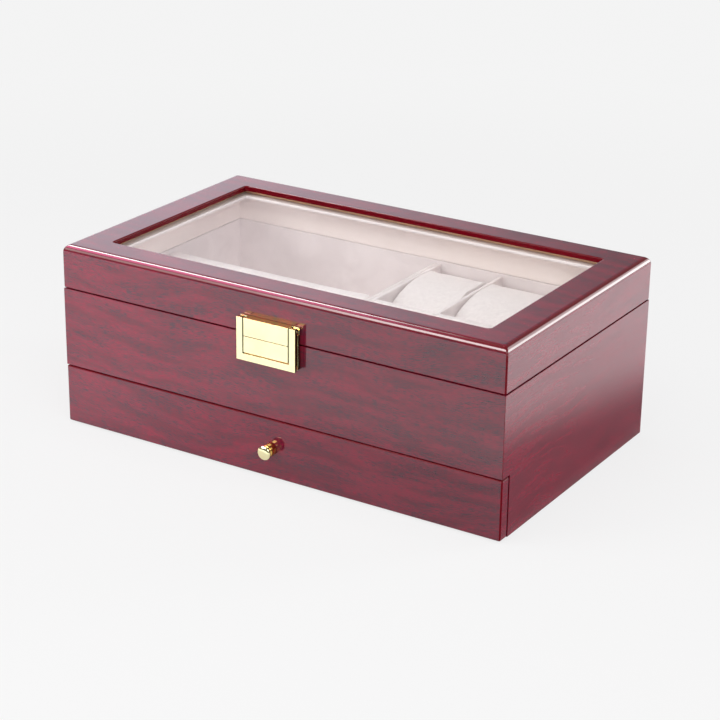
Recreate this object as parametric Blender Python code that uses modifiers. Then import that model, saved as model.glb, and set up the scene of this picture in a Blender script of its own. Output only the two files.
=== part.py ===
# Lacquered watch and jewelry box: a hinged lid with a glass window over a lined
# tray with six watch pillows, and a full-width drawer underneath.
#
# Metres, +Z up, +X to the right along the front, the front faces -Y.
# The origin is the centre of the underside.

import math

import bmesh
import bpy
from mathutils import Matrix, Vector

# Outer sizes
BOX_WIDTH = 0.336
BOX_DEPTH = 0.200
LID_HEIGHT = 0.03025
CASE_HEIGHT = 0.09655
DRAWER_FRONT_HEIGHT = 0.0408
BOARD = 0.009
FELT_THICKNESS = 0.0006
FELT_INSET = 0.006

# Clearances shared by all pieces
GAP = 0.0003
RUNNING_GAP = 0.0006
OVERRUN = 0.004
WELD = 0.00001

# Sanded edges of the lacquered boards
CORNER_RADIUS = 0.0013
SEAM_EDGE_RADIUS = 0.0012
TOP_EDGE_RADIUS = 0.005

# Lid panel, window and glass
LID_PANEL = 0.0068
LIP_THICKNESS = 0.0036
RAIL_SIDE_WIDTH = 0.0246
RAIL_FRONT_WIDTH = 0.0227
WINDOW_CORNER_RADIUS = 0.0025
WINDOW_EDGE_RADIUS = 0.0018
GLASS_REBATE = 0.005
RETAINER_THICKNESS = 0.002
RETAINER_LEDGE = 0.001

# Velvet-covered card
LINING = 0.0012
LID_LINING_RAISE = 0.0002
RIM_DROP = 0.0015
SOFT_EDGE_SHARE = 0.25

# Tray
PARTITION = 0.004
CELL_WIDTH = 0.046
CELL_COLUMNS = 3
TRAY_WALL = 0.0026
MIDDLE_DIVIDER = 0.0055
COLUMN_DIVIDER = 0.0025
LEFT_BAR_WIDTH = 0.01275
LEFT_BAR_EDGE_RADIUS = 0.003

# Watch pillow
PILLOW_SIDE_GAP = 0.0014
PILLOW_FRONT_GAP = 0.0105
PILLOW_BACK_GAP = 0.0026
PILLOW_RISE = 0.003
PILLOW_END_ROUND = 0.0028
PILLOW_ROUNDNESS_SHARE = 2.35
PILLOW_END_SHARE = 0.95
PILLOW_CROWN_SHARE = 0.015
PILLOW_MIDDLE_SHARE = 0.33
PILLOW_POINTS = 28
PILLOW_END_STEPS = 3

# Drawer
DRAWER_SIDE = 0.005
DRAWER_SIDE_HEIGHT = 0.0326
DRAWER_BACK_GAP = 0.007
DRAWER_BOTTOM = 0.0025
DRAWER_GROOVE = 0.002
DRAWER_GROOVE_RAISE = 0.0013
DRAWER_FLOOR_BOARD = 0.004
DRAWER_DIVIDER = 0.003
DRAWER_DIVIDER_X = 0.012
DRAWER_DIVIDER_HEIGHT = 0.021
RING_ROLL_COUNT = 8
RING_ROLL_BASE = 0.004
RING_ROLL_RISE = 0.004
RING_SLOT = 0.0012
RING_ROLL_STEPS = 8

# Knob and its screw
KNOB_RADIUS = 0.0049
KNOB_LENGTH = 0.0102
KNOB_SCREW_RADIUS = 0.0015
KNOB_SCREW_BITE = 0.0055
KNOB_SCREW_HEAD_RADIUS = 0.0036
KNOB_SCREW_HEAD = 0.002
KNOB_SCREW_TAPER_SHARE = 0.8
# Domed front, waist and flared foot: shares of the radius and the length
KNOB_PROFILE_SHARES = ((0.00, 1.00), (0.45, 0.985), (0.78, 0.93), (0.95, 0.86), (1.00, 0.79),
                       (0.96, 0.71), (0.80, 0.66), (0.62, 0.63), (0.57, 0.58), (0.60, 0.50),
                       (0.69, 0.38), (0.78, 0.25), (0.85, 0.12))
KNOB_FOOT_SHARE = 0.88

# Latch
LATCH_WIDTH = 0.0446
LATCH_RISE = 0.0123
LATCH_BASE_DEPTH = 0.0026
KEEPER_DROP = 0.0157
HASP_DROP = 0.0164
HASP_THICKNESS = 0.0031
HASP_FRAME_THICKNESS = 0.0019
HASP_BAR = 0.0046
HASP_BACK_INSET = 0.0018
HASP_GROOVE = 0.0008
HASP_GROOVE_DEPTH = 0.0012
HASP_SWING_GAP = 0.00035
EAR_RADIUS = 0.002
EAR_REACH = 0.0014
LATCH_PIN_RADIUS = 0.0008

# Butt hinges let into the back boards
HINGE_INSET = 0.058
HINGE_LENGTH = 0.030
HINGE_LEAF_DEPTH = 0.0075
HINGE_LEAF = 0.001
HINGE_BARREL_RADIUS = 0.0022
HINGE_PIN_RADIUS = 0.0009
HINGE_KNUCKLES = 5
HINGE_SCREW_SPACING = 0.018
HINGE_SCREW_HEAD_RADIUS = 0.002
HINGE_SCREW_RADIUS = 0.001
HINGE_SCREW_LENGTH = 0.009

ROUND_STEPS = 16
EDGE_STEPS = 3
TOP_EDGE_STEPS = 6

# Places worked out from the sizes above
HALF_X = BOX_WIDTH / 2
HALF_Y = BOX_DEPTH / 2
INNER_X = HALF_X - BOARD
INNER_Y = HALF_Y - BOARD
FOOT_Z = FELT_THICKNESS + GAP
CASE_TOP = FOOT_Z + CASE_HEIGHT
SEAM_Z = CASE_TOP + GAP / 2
LID_FOOT = CASE_TOP + GAP
LID_TOP = LID_FOOT + LID_HEIGHT
LID_PANEL_FOOT = LID_TOP - LID_PANEL
LIP_FOOT = LID_TOP - LIP_THICKNESS
GLASS_THICKNESS = LID_PANEL - LIP_THICKNESS - GAP - GAP
RETAINER_TOP = LID_PANEL_FOOT - GAP
RETAINER_FOOT = RETAINER_TOP - RETAINER_THICKNESS
WINDOW_X = HALF_X - RAIL_SIDE_WIDTH
WINDOW_Y = HALF_Y - RAIL_FRONT_WIDTH

DRAWER_FOOT = FOOT_Z + GAP
DRAWER_TOP = DRAWER_FOOT + DRAWER_FRONT_HEIGHT
APRON_FOOT = DRAWER_TOP + RUNNING_GAP
PARTITION_FOOT = APRON_FOOT + RUNNING_GAP
PARTITION_TOP = PARTITION_FOOT + PARTITION
FLOOR_FOOT = PARTITION_TOP + GAP
FLOOR_TOP = FLOOR_FOOT + LINING
TRAY_FOOT = FLOOR_TOP + GAP
RIM_Z = CASE_TOP - RIM_DROP

LINED_X = INNER_X - GAP
LINED_Y = INNER_Y - GAP
TRAY_X = LINED_X - LINING
TRAY_Y = LINED_Y - LINING
RIGHT_WALL_INNER_X = TRAY_X - CELL_COLUMNS * CELL_WIDTH - (CELL_COLUMNS - 1) * COLUMN_DIVIDER
RIGHT_WALL_X = RIGHT_WALL_INNER_X - TRAY_WALL
LEFT_WALL_INNER_X = RIGHT_WALL_X - GAP - TRAY_WALL

HINGE_AXIS_Y = HALF_Y + GAP + HINGE_BARREL_RADIUS
HINGE_X = HALF_X - HINGE_INSET

LATCH_BACK_Y = -HALF_Y - GAP
LATCH_BASE_Y = LATCH_BACK_Y - LATCH_BASE_DEPTH
HASP_BACK_Y = LATCH_BASE_Y - GAP
HASP_FRONT_Y = HASP_BACK_Y - HASP_THICKNESS
HASP_FRAME_Y = HASP_FRONT_Y + HASP_FRAME_THICKNESS
HASP_TOP = SEAM_Z + LATCH_RISE
HASP_FOOT = SEAM_Z - HASP_DROP
LATCH_AXIS_Y = HASP_BACK_Y + EAR_REACH - EAR_RADIUS
LATCH_AXIS_Z = HASP_TOP - EAR_RADIUS
PAD_X = LATCH_WIDTH / 2 - HASP_BAR - HASP_GROOVE
BAR_X = LATCH_WIDTH / 2 - HASP_BAR

# Directions in which an outline or a turned profile is laid: local Z goes along
# the named direction, and the outline is read as the other two world axes
TURNS = {
    "x": Matrix(((0, 0, 1), (1, 0, 0), (0, 1, 0))),
    "y": Matrix(((1, 0, 0), (0, 0, -1), (0, 1, 0))),
    "z": Matrix.Identity(3),
    "down": Matrix(((1, 0, 0), (0, -1, 0), (0, 0, -1))),
}

parts = None
cutters = None
carrier_places = {}


# Scene, collections and carriers

def start_scene():
    global parts, cutters
    for old in list(bpy.data.objects):
        bpy.data.objects.remove(old, do_unlink=True)
    parts = bpy.data.collections.new("watch_and_jewelry_box")
    cutters = bpy.data.collections.new("cutters")
    bpy.context.scene.collection.children.link(parts)
    bpy.context.scene.collection.children.link(cutters)


def add_carrier(name, place, parent=None):
    """An empty on a joint's axis; the pieces that move with it are its children."""
    carrier = bpy.data.objects.new(name, None)
    carrier.empty_display_size = BOARD
    parts.objects.link(carrier)
    carrier.parent = parent
    start = carrier_places[parent.name] if parent else Vector((0, 0, 0))
    carrier.location = Vector(place) - start
    carrier_places[name] = Vector(place)
    return carrier


def put(name, mesh, place, turn="z", carrier=None, cutter=False):
    """Makes an object of a mesh at a world place, in a direction, on a carrier."""
    piece = bpy.data.objects.new(name, mesh)
    (cutters if cutter else parts).objects.link(piece)
    piece.parent = carrier
    start = carrier_places[carrier.name] if carrier else Vector((0, 0, 0))
    piece.location = Vector(place) - start
    piece.rotation_euler = TURNS[turn].to_euler()
    if cutter:
        piece.hide_render = True
        piece.display_type = "WIRE"
    return piece


# Shapes

def mesh_from(bm, name):
    mesh = bpy.data.meshes.new(name)
    bm.to_mesh(mesh)
    bm.free()
    return mesh


def block(name, low, high, **where):
    """A board or block between two world corners."""
    low, high = Vector(low), Vector(high)
    bm = bmesh.new()
    bmesh.ops.create_cube(bm, size=1, matrix=Matrix.Diagonal((*(high - low), 1)))
    return put(name, mesh_from(bm, name), (low + high) / 2, **where)


def rod(name, radius, length, place, turn, **where):
    """A round bar, its middle at a world place."""
    bm = bmesh.new()
    bmesh.ops.create_cone(bm, cap_ends=True, segments=ROUND_STEPS, radius1=radius,
                          radius2=radius, depth=length)
    return put(name, smooth(mesh_from(bm, name)), place, turn, **where)


def smooth(mesh, angle=math.radians(40)):
    mesh.shade_smooth()
    mesh.set_sharp_from_angle(angle=angle)
    return mesh


def outline_plate(name, outline, low, high, turn, **where):
    """A flat outline with thickness from low to high along its direction."""
    curve = bpy.data.curves.new(name, "CURVE")
    curve.dimensions = "2D"
    curve.fill_mode = "BOTH"
    curve.extrude = (high - low) / 2
    spline = curve.splines.new("POLY")
    spline.points.add(len(outline) - 1)
    for point, (across, up) in zip(spline.points, outline):
        point.co = (across, up, 0, 1)
    spline.use_cyclic_u = True
    guide = bpy.data.objects.new(name, curve)
    parts.objects.link(guide)
    bpy.context.view_layer.update()
    evaluated = guide.evaluated_get(bpy.context.evaluated_depsgraph_get())
    mesh = bpy.data.meshes.new_from_object(evaluated)
    bpy.data.objects.remove(guide)
    bpy.data.curves.remove(curve)
    bm = bmesh.new()
    bm.from_mesh(mesh)
    bmesh.ops.remove_doubles(bm, verts=bm.verts, dist=WELD)
    bmesh.ops.recalc_face_normals(bm, faces=bm.faces)
    bm.to_mesh(mesh)
    bm.free()
    mesh.name = name
    middle = TURNS[turn] @ Vector((0, 0, (high + low) / 2))
    return put(name, mesh, middle, turn, **where)


def turned(name, profile, place, turn, steps=ROUND_STEPS, **where):
    """A turned piece: radius and height pairs, listed down the outer side."""
    bm = bmesh.new()
    points = [bm.verts.new((radius, 0, height)) for radius, height in profile]
    for first, second in zip(points, points[1:]):
        bm.edges.new((first, second))
    piece = put(name, mesh_from(bm, name), place, turn, **where)
    screw = piece.modifiers.new("turn", "SCREW")
    screw.steps = steps
    screw.render_steps = steps
    screw.use_merge_vertices = True
    screw.merge_threshold = WELD
    screw.use_smooth_shade = True
    return piece


def rounded_rectangle(half_x, half_y, radius, steps=EDGE_STEPS):
    points = []
    for corner, (sign_x, sign_y) in enumerate(((1, 1), (-1, 1), (-1, -1), (1, -1))):
        for step in range(steps + 1):
            angle = math.radians(90) * (corner + step / steps)
            points.append((sign_x * (half_x - radius) + radius * math.cos(angle),
                           sign_y * (half_y - radius) + radius * math.sin(angle)))
    return points


def loft(name, rings, **where):
    """A closed skin through rings of equally many world points."""
    bm = bmesh.new()
    levels = [[bm.verts.new(point) for point in ring] for ring in rings]
    for lower, upper in zip(levels, levels[1:]):
        for index, corner in enumerate(lower):
            bm.faces.new((lower[index - 1], corner, upper[index], upper[index - 1]))
    bm.faces.new(levels[0])
    bm.faces.new(levels[-1])
    bmesh.ops.recalc_face_normals(bm, faces=bm.faces)
    return put(name, mesh_from(bm, name), (0, 0, 0), **where)


def edge_arc(radius, steps):
    """Inset and rise pairs round a quarter of an edge, from the inset end."""
    quarter = math.radians(90)
    return [(radius * (1 - math.sin(quarter * step / steps)),
             radius * (1 - math.cos(quarter * step / steps))) for step in range(steps + 1)]


def envelope(name, low, high, foot_radius, top_radius, top_steps, foot_steps=EDGE_STEPS):
    """The sanded outer form that trims the boards of one storey of the box."""
    levels = [(low + rise, inset) for inset, rise in edge_arc(foot_radius, foot_steps)]
    top = [(high - rise, inset) for inset, rise in edge_arc(top_radius, top_steps)]
    levels += reversed(top)
    rings = []
    for height, inset in levels:
        ring = rounded_rectangle(HALF_X - inset, HALF_Y - inset, CORNER_RADIUS)
        rings.append([(x, y, height) for x, y in ring])
    return loft(name, rings, cutter=True)


# Changes to shapes

def combine(piece, tool, operation):
    boolean = piece.modifiers.new(tool.name, "BOOLEAN")
    boolean.operation = operation
    boolean.object = tool
    boolean.solver = "EXACT"
    return piece


def cut(piece, *tools):
    for tool in tools:
        combine(piece, tool, "DIFFERENCE")
    return piece


def soften(piece, width, segments=1):
    bevel = piece.modifiers.new("edges", "BEVEL")
    bevel.width = width
    bevel.segments = segments
    bevel.limit_method = "ANGLE"
    return piece


# Materials

def principled(piece, color, roughness, metallic=0.0, transmission=0.0):
    material = bpy.data.materials.new(piece.name + "_finish")
    material.use_nodes = True
    shader = material.node_tree.nodes["Principled BSDF"]
    shader.inputs["Base Color"].default_value = (*color, 1)
    shader.inputs["Roughness"].default_value = roughness
    shader.inputs["Metallic"].default_value = metallic
    shader.inputs["Transmission Weight"].default_value = transmission
    piece.data.materials.append(material)
    return piece


def lacquer(piece):
    return principled(piece, (0.26, 0.035, 0.06), 0.08)


def brass(piece):
    return principled(piece, (0.86, 0.66, 0.28), 0.12, metallic=1.0)


def velvet(piece):
    return principled(piece, (0.62, 0.52, 0.45), 0.95)


def suede(piece):
    return principled(piece, (0.80, 0.74, 0.70), 0.9)


def clear_glass(piece):
    return principled(piece, (0.95, 0.97, 0.96), 0.02, transmission=0.95)


def board(piece):
    return principled(piece, (0.30, 0.22, 0.15), 0.7)


def felt(piece):
    return principled(piece, (0.03, 0.03, 0.03), 1.0)


def steel(piece):
    return principled(piece, (0.62, 0.60, 0.55), 0.3, metallic=1.0)


# Lid

def make_lid_boards(lid):
    """Four lapped boards and the window panel, sanded to one outer form."""
    form = envelope("lid_form", LID_FOOT, LID_TOP, SEAM_EDGE_RADIUS, TOP_EDGE_RADIUS, TOP_EDGE_STEPS)
    over_x, over_y = HALF_X + OVERRUN, HALF_Y + OVERRUN
    low, high = LID_FOOT - OVERRUN, LID_PANEL_FOOT - GAP
    side_y = INNER_Y - GAP
    boards = {
        "lid_front_rail": ((-over_x, -over_y, low), (over_x, -INNER_Y, high)),
        "lid_back_rail": ((-over_x, INNER_Y, low), (over_x, over_y, high)),
        "lid_left_rail": ((-over_x, -side_y, low), (-INNER_X, side_y, high)),
        "lid_right_rail": ((INNER_X, -side_y, low), (over_x, side_y, high)),
    }
    rails = {}
    for name, (start, end) in boards.items():
        rails[name] = lacquer(block(name, start, end, carrier=lid))
        combine(rails[name], form, "INTERSECT")
    panel = block("lid_top_frame", (-over_x, -over_y, LID_PANEL_FOOT),
                  (over_x, over_y, LID_TOP + OVERRUN), carrier=lid)
    combine(lacquer(panel), form, "INTERSECT")
    rebate = block("glass_rebate",
                   (-WINDOW_X - GLASS_REBATE, -WINDOW_Y - GLASS_REBATE, LID_PANEL_FOOT - OVERRUN),
                   (WINDOW_X + GLASS_REBATE, WINDOW_Y + GLASS_REBATE, LIP_FOOT), cutter=True)
    cut(panel, window_cutter(), rebate)
    return rails


def opening_cutter(name, levels):
    """A rounded opening: its height and how much wider it is than the window."""
    rings = []
    for height, wider in levels:
        ring = rounded_rectangle(WINDOW_X + wider, WINDOW_Y + wider, WINDOW_CORNER_RADIUS + wider)
        rings.append([(x, y, height) for x, y in ring])
    return loft(name, rings, cutter=True)


def window_cutter():
    levels = [(LID_PANEL_FOOT - OVERRUN, 0)]
    levels += [(LID_TOP - inset, rise) for inset, rise in edge_arc(WINDOW_EDGE_RADIUS, EDGE_STEPS)]
    levels.append((LID_TOP + OVERRUN, WINDOW_EDGE_RADIUS))
    return opening_cutter("window", levels)


def make_glass(lid):
    edge = GLASS_REBATE - GAP
    pane = block("lid_glass", (-WINDOW_X - edge, -WINDOW_Y - edge, LID_PANEL_FOOT + GAP),
                 (WINDOW_X + edge, WINDOW_Y + edge, LID_PANEL_FOOT + GAP + GLASS_THICKNESS),
                 carrier=lid)
    clear_glass(pane)
    retainer = block("glass_retainer", (-LINED_X, -LINED_Y, RETAINER_FOOT),
                     (LINED_X, LINED_Y, RETAINER_TOP), carrier=lid)
    opening = opening_cutter("retainer_opening", [(RETAINER_FOOT - OVERRUN, -RETAINER_LEDGE),
                                                  (RETAINER_TOP + OVERRUN, -RETAINER_LEDGE)])
    cut(velvet(retainer), opening)


def lining_strip(name, low, high, carrier=None):
    """A card strip folded round the inside of the four boards."""
    strip = block(name, (-LINED_X, -LINED_Y, low), (LINED_X, LINED_Y, high), carrier=carrier)
    inside = block(name + "_inside", (-TRAY_X, -TRAY_Y, low - OVERRUN),
                   (TRAY_X, TRAY_Y, high + OVERRUN), cutter=True)
    return cut(velvet(strip), inside)


# Case

def make_case_boards():
    form = envelope("case_form", FOOT_Z, CASE_TOP, SEAM_EDGE_RADIUS, SEAM_EDGE_RADIUS, EDGE_STEPS)
    apron_form = envelope("apron_form", APRON_FOOT, CASE_TOP, SEAM_EDGE_RADIUS, SEAM_EDGE_RADIUS,
                          EDGE_STEPS)
    over_x, over_y = HALF_X + OVERRUN, HALF_Y + OVERRUN
    low, high = FOOT_Z - OVERRUN, CASE_TOP + OVERRUN
    side_y = INNER_Y - GAP
    boards = {
        "case_front_rail": ((-over_x, -over_y, low), (over_x, -INNER_Y, high), apron_form),
        "case_back_wall": ((-over_x, INNER_Y, low), (over_x, over_y, high), form),
        "case_left_wall": ((-over_x, -side_y, low), (-INNER_X, side_y, high), form),
        "case_right_wall": ((INNER_X, -side_y, low), (over_x, side_y, high), form),
    }
    walls = {}
    for name, (start, end, trim) in boards.items():
        walls[name] = combine(lacquer(block(name, start, end)), trim, "INTERSECT")
    return walls


def make_floors():
    board(block("partition_board", (-LINED_X, -LINED_Y, PARTITION_FOOT),
                (LINED_X, LINED_Y, PARTITION_TOP)))
    board(block("bottom_board", (-LINED_X, -LINED_Y, FOOT_Z),
                (LINED_X, LINED_Y, FOOT_Z + DRAWER_FLOOR_BOARD)))
    felt(block("base_felt", (-HALF_X + FELT_INSET, -LINED_Y, 0),
               (HALF_X - FELT_INSET, HALF_Y - FELT_INSET, FELT_THICKNESS)))


# Tray

def make_tray():
    velvet(block("tray_floor_lining", (-LINED_X, -LINED_Y, FLOOR_FOOT), (LINED_X, LINED_Y, FLOOR_TOP)))
    lining_strip("tray_lining", TRAY_FOOT, CASE_TOP - GAP)
    reach = TRAY_Y - GAP
    for name, left in (("left_tray_wall", LEFT_WALL_INNER_X), ("right_tray_wall", RIGHT_WALL_X)):
        wall = block(name, (left, -reach, TRAY_FOOT), (left + TRAY_WALL, reach, RIM_Z))
        soften(velvet(wall), TRAY_WALL * SOFT_EDGE_SHARE)
    bar = block("left_tray_bar", (-TRAY_X + GAP, -MIDDLE_DIVIDER / 2, TRAY_FOOT),
                (LEFT_WALL_INNER_X - GAP, LEFT_BAR_WIDTH - MIDDLE_DIVIDER / 2, RIM_Z))
    soften(velvet(bar), LEFT_BAR_EDGE_RADIUS, EDGE_STEPS)
    make_crossed_dividers()


def make_crossed_dividers():
    """The middle divider and the column dividers, halved into each other."""
    half_way = (TRAY_FOOT + RIM_Z) / 2
    start, end = RIGHT_WALL_INNER_X + GAP, TRAY_X - GAP
    columns = [RIGHT_WALL_INNER_X + column * CELL_WIDTH + (column - 1) * COLUMN_DIVIDER
               for column in range(1, CELL_COLUMNS)]
    outline = [(start, TRAY_FOOT), (end, TRAY_FOOT), (end, RIM_Z)]
    for left in reversed(columns):
        right = left + COLUMN_DIVIDER
        outline += [(right + GAP, RIM_Z), (right + GAP, half_way - GAP),
                    (left - GAP, half_way - GAP), (left - GAP, RIM_Z)]
    outline.append((start, RIM_Z))
    half = MIDDLE_DIVIDER / 2
    velvet(outline_plate("middle_divider", outline, -half, half, "y"))
    reach = TRAY_Y - GAP
    slot = half + GAP
    profile = [(-reach, TRAY_FOOT), (-slot, TRAY_FOOT), (-slot, half_way), (slot, half_way),
               (slot, TRAY_FOOT), (reach, TRAY_FOOT), (reach, RIM_Z), (-reach, RIM_Z)]
    for number, left in enumerate(columns, 1):
        velvet(outline_plate("column_divider_%d" % number, profile, left, left + COLUMN_DIVIDER, "x"))


# Watch pillows

def pillow_section(swell, x):
    """A rounded section across the pillow, flat underneath, at one place along X."""
    cell_length = TRAY_Y - MIDDLE_DIVIDER / 2
    half_length = (cell_length - PILLOW_FRONT_GAP - PILLOW_BACK_GAP) / 2
    foot = TRAY_FOOT + GAP
    half_height = (RIM_Z + PILLOW_RISE - foot) / 2
    ring = []
    for index in range(PILLOW_POINTS):
        angle = math.radians(360) * index / PILLOW_POINTS
        along, up = math.cos(angle), math.sin(angle)
        power = 2 / PILLOW_ROUNDNESS_SHARE
        along = math.copysign(abs(along) ** power, along) * half_length * swell
        up = math.copysign(abs(up) ** power, up) * half_height * swell
        ring.append((x, along, foot + half_height + up))
    return ring


def pillow_mesh():
    """Sections along the pillow: rounded ends and a slight crown in the middle."""
    half_width = CELL_WIDTH / 2 - PILLOW_SIDE_GAP
    quarter = math.radians(90)
    stations = []
    for step in range(PILLOW_END_STEPS + 1):
        angle = quarter * step / PILLOW_END_STEPS
        rounding = math.sin(angle) * (1 - PILLOW_END_SHARE) + PILLOW_END_SHARE
        x = -half_width + PILLOW_END_ROUND * (1 - math.cos(angle))
        stations.append((x, rounding - PILLOW_CROWN_SHARE))
    middle = -half_width * PILLOW_MIDDLE_SHARE
    stations.append((middle, 1 - PILLOW_CROWN_SHARE * PILLOW_MIDDLE_SHARE ** 2))
    stations += [(-x, swell) for x, swell in reversed(stations)]
    rings = [pillow_section(swell, x) for x, swell in stations]
    sample = loft("pillow_shape", rings, cutter=True)
    mesh = sample.data
    bpy.data.objects.remove(sample)
    return smooth(mesh, math.radians(60))


def make_pillows():
    mesh = pillow_mesh()
    lean = (PILLOW_FRONT_GAP - PILLOW_BACK_GAP) / 2
    cell_middle = (TRAY_Y + MIDDLE_DIVIDER / 2) / 2
    number = 0
    for row in (1, -1):
        for column in range(CELL_COLUMNS):
            number += 1
            x = RIGHT_WALL_INNER_X + CELL_WIDTH / 2 + column * (CELL_WIDTH + COLUMN_DIVIDER)
            pillow = put("watch_pillow_%d" % number, mesh.copy(), (x, row * cell_middle + lean, 0))
            suede(pillow)


# Drawer

def make_drawer(drawer):
    form = envelope("drawer_form", DRAWER_FOOT, DRAWER_TOP, SEAM_EDGE_RADIUS, SEAM_EDGE_RADIUS,
                    EDGE_STEPS)
    back_of_front = -INNER_Y - GAP
    front = block("drawer_front", (-HALF_X - OVERRUN, -HALF_Y - OVERRUN, DRAWER_FOOT - OVERRUN),
                  (HALF_X + OVERRUN, back_of_front, DRAWER_TOP + OVERRUN), carrier=drawer)
    combine(lacquer(front), form, "INTERSECT")

    start, end = back_of_front + GAP, INNER_Y - DRAWER_BACK_GAP
    foot = FOOT_Z + DRAWER_FLOOR_BOARD + GAP
    top = foot + DRAWER_SIDE_HEIGHT
    outer = INNER_X - RUNNING_GAP
    inner = outer - DRAWER_SIDE
    groove_foot = foot + DRAWER_GROOVE_RAISE
    groove_top = groove_foot + DRAWER_BOTTOM + GAP + GAP
    groove = block("bottom_groove", (-inner - DRAWER_GROOVE, start - OVERRUN, groove_foot),
                   (inner + DRAWER_GROOVE, end + OVERRUN, groove_top), cutter=True)
    for name, low_x, high_x in (("drawer_left_side", -outer, -inner), ("drawer_right_side", inner, outer)):
        side = block(name, (low_x, start, foot), (high_x, end, top), carrier=drawer)
        cut(board(side), groove)
    across = inner - GAP
    in_groove = inner + DRAWER_GROOVE - GAP
    board(block("drawer_bottom", (-in_groove, start, groove_foot + GAP),
                (in_groove, end, groove_top - GAP), carrier=drawer))
    board(block("drawer_back", (-across, end - DRAWER_SIDE, groove_top),
                (across, end, top), carrier=drawer))

    lining_end = end - DRAWER_SIDE - GAP
    lining_top = groove_top + LINING
    velvet(block("drawer_lining", (-across, start, groove_top), (across, lining_end, lining_top),
                 carrier=drawer))
    inlay_foot = lining_top + GAP
    rolls_x = DRAWER_DIVIDER_X + DRAWER_DIVIDER
    divider = block("drawer_divider", (DRAWER_DIVIDER_X, start, inlay_foot),
                    (rolls_x, lining_end, inlay_foot + DRAWER_DIVIDER_HEIGHT), carrier=drawer)
    soften(velvet(divider), DRAWER_DIVIDER * SOFT_EDGE_SHARE)
    make_ring_rolls(drawer, rolls_x + GAP, across, start, lining_end, inlay_foot)
    make_knob(drawer, front)


def make_ring_rolls(drawer, low_x, high_x, start, end, foot):
    """A padded bank of half-round rolls with a slot for rings after each one."""
    pitch = (end - start) / RING_ROLL_COUNT
    radius = (pitch - RING_SLOT) / 2
    slab = foot + RING_ROLL_BASE
    shoulder = slab + RING_ROLL_RISE
    outline = [(end, foot), (start, foot)]
    for roll in range(RING_ROLL_COUNT):
        middle = start + pitch * (roll + 1 / 2)
        if roll:
            outline.append((middle - radius, slab))
        for step in range(RING_ROLL_STEPS + 1):
            angle = math.radians(180) * (1 - step / RING_ROLL_STEPS)
            outline.append((middle + radius * math.cos(angle), shoulder + radius * math.sin(angle)))
        if roll < RING_ROLL_COUNT - 1:
            outline.append((middle + radius, slab))
    outline[0], outline[1] = (middle + radius, foot), (start + RING_SLOT / 2, foot)
    velvet(outline_plate("ring_rolls", outline, low_x, high_x, "x", carrier=drawer))


def make_knob(drawer, front):
    place = (0, -HALF_Y, (DRAWER_FOOT + DRAWER_TOP) / 2)
    bore = KNOB_SCREW_RADIUS + GAP
    profile = [(radius * KNOB_RADIUS, height * KNOB_LENGTH) for radius, height in KNOB_PROFILE_SHARES]
    profile += [(KNOB_RADIUS * KNOB_FOOT_SHARE, GAP), (bore, GAP), (bore, KNOB_SCREW_BITE + GAP),
                (0, KNOB_SCREW_BITE + GAP)]
    brass(turned("drawer_knob", profile, place, "y", steps=24, carrier=drawer))

    inside = -(HALF_Y + (-INNER_Y - GAP)) - GAP
    head_end = inside - KNOB_SCREW_HEAD
    screw = [(0, KNOB_SCREW_BITE), (KNOB_SCREW_RADIUS, KNOB_SCREW_BITE), (KNOB_SCREW_RADIUS, inside),
             (KNOB_SCREW_HEAD_RADIUS, inside),
             (KNOB_SCREW_HEAD_RADIUS * KNOB_SCREW_TAPER_SHARE, head_end), (0, head_end)]
    steel(turned("knob_screw", screw, place, "y", carrier=drawer))
    hole = rod("knob_hole", bore, (BOARD + OVERRUN) * 2, place, "y", cutter=True)
    cut(front, hole)


# Latch

def make_latch(lid, hasp):
    half = LATCH_WIDTH / 2
    ahead = LATCH_AXIS_Y - HASP_FRONT_Y
    swing = LATCH_AXIS_Z - SEAM_Z
    split_z = LATCH_AXIS_Z - math.sqrt(swing ** 2 - ahead ** 2)
    profile = [(LATCH_BACK_Y, LID_FOOT), (LATCH_BACK_Y, HASP_TOP), (HASP_FRONT_Y, HASP_TOP),
               (HASP_FRONT_Y, split_z), (LATCH_BASE_Y, LID_FOOT)]
    upper = brass(outline_plate("latch_lid_block", profile, -half, half, "x", carrier=lid))
    over = OVERRUN
    ear_back = LATCH_AXIS_Y + EAR_RADIUS + GAP
    ear_foot = LATCH_AXIS_Z - EAR_RADIUS - GAP
    for side, sign in (("left", -1), ("right", 1)):
        inner, outer = sorted((sign * PAD_X, sign * (half + over)))
        cut(upper, block("pad_side_" + side, (inner, HASP_FRONT_Y - over, LID_FOOT - over),
                         (outer, LATCH_BASE_Y, HASP_TOP + over), cutter=True))
        cut(upper, block("ear_relief_" + side, (inner, HASP_FRONT_Y - over, ear_foot),
                         (outer, ear_back, HASP_TOP + over), cutter=True))
    bore = rod("latch_bore", LATCH_PIN_RADIUS + GAP, LATCH_WIDTH + over,
               (0, LATCH_AXIS_Y, LATCH_AXIS_Z), "x", cutter=True)
    cut(upper, bore)
    brass(rod("latch_pin", LATCH_PIN_RADIUS, LATCH_WIDTH, (0, LATCH_AXIS_Y, LATCH_AXIS_Z), "x",
              carrier=lid))
    brass(block("latch_keeper", (-half, LATCH_BASE_Y, SEAM_Z - KEEPER_DROP),
                (half, LATCH_BACK_Y, CASE_TOP)))
    make_hasp(hasp, bore, swing, ahead)


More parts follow.
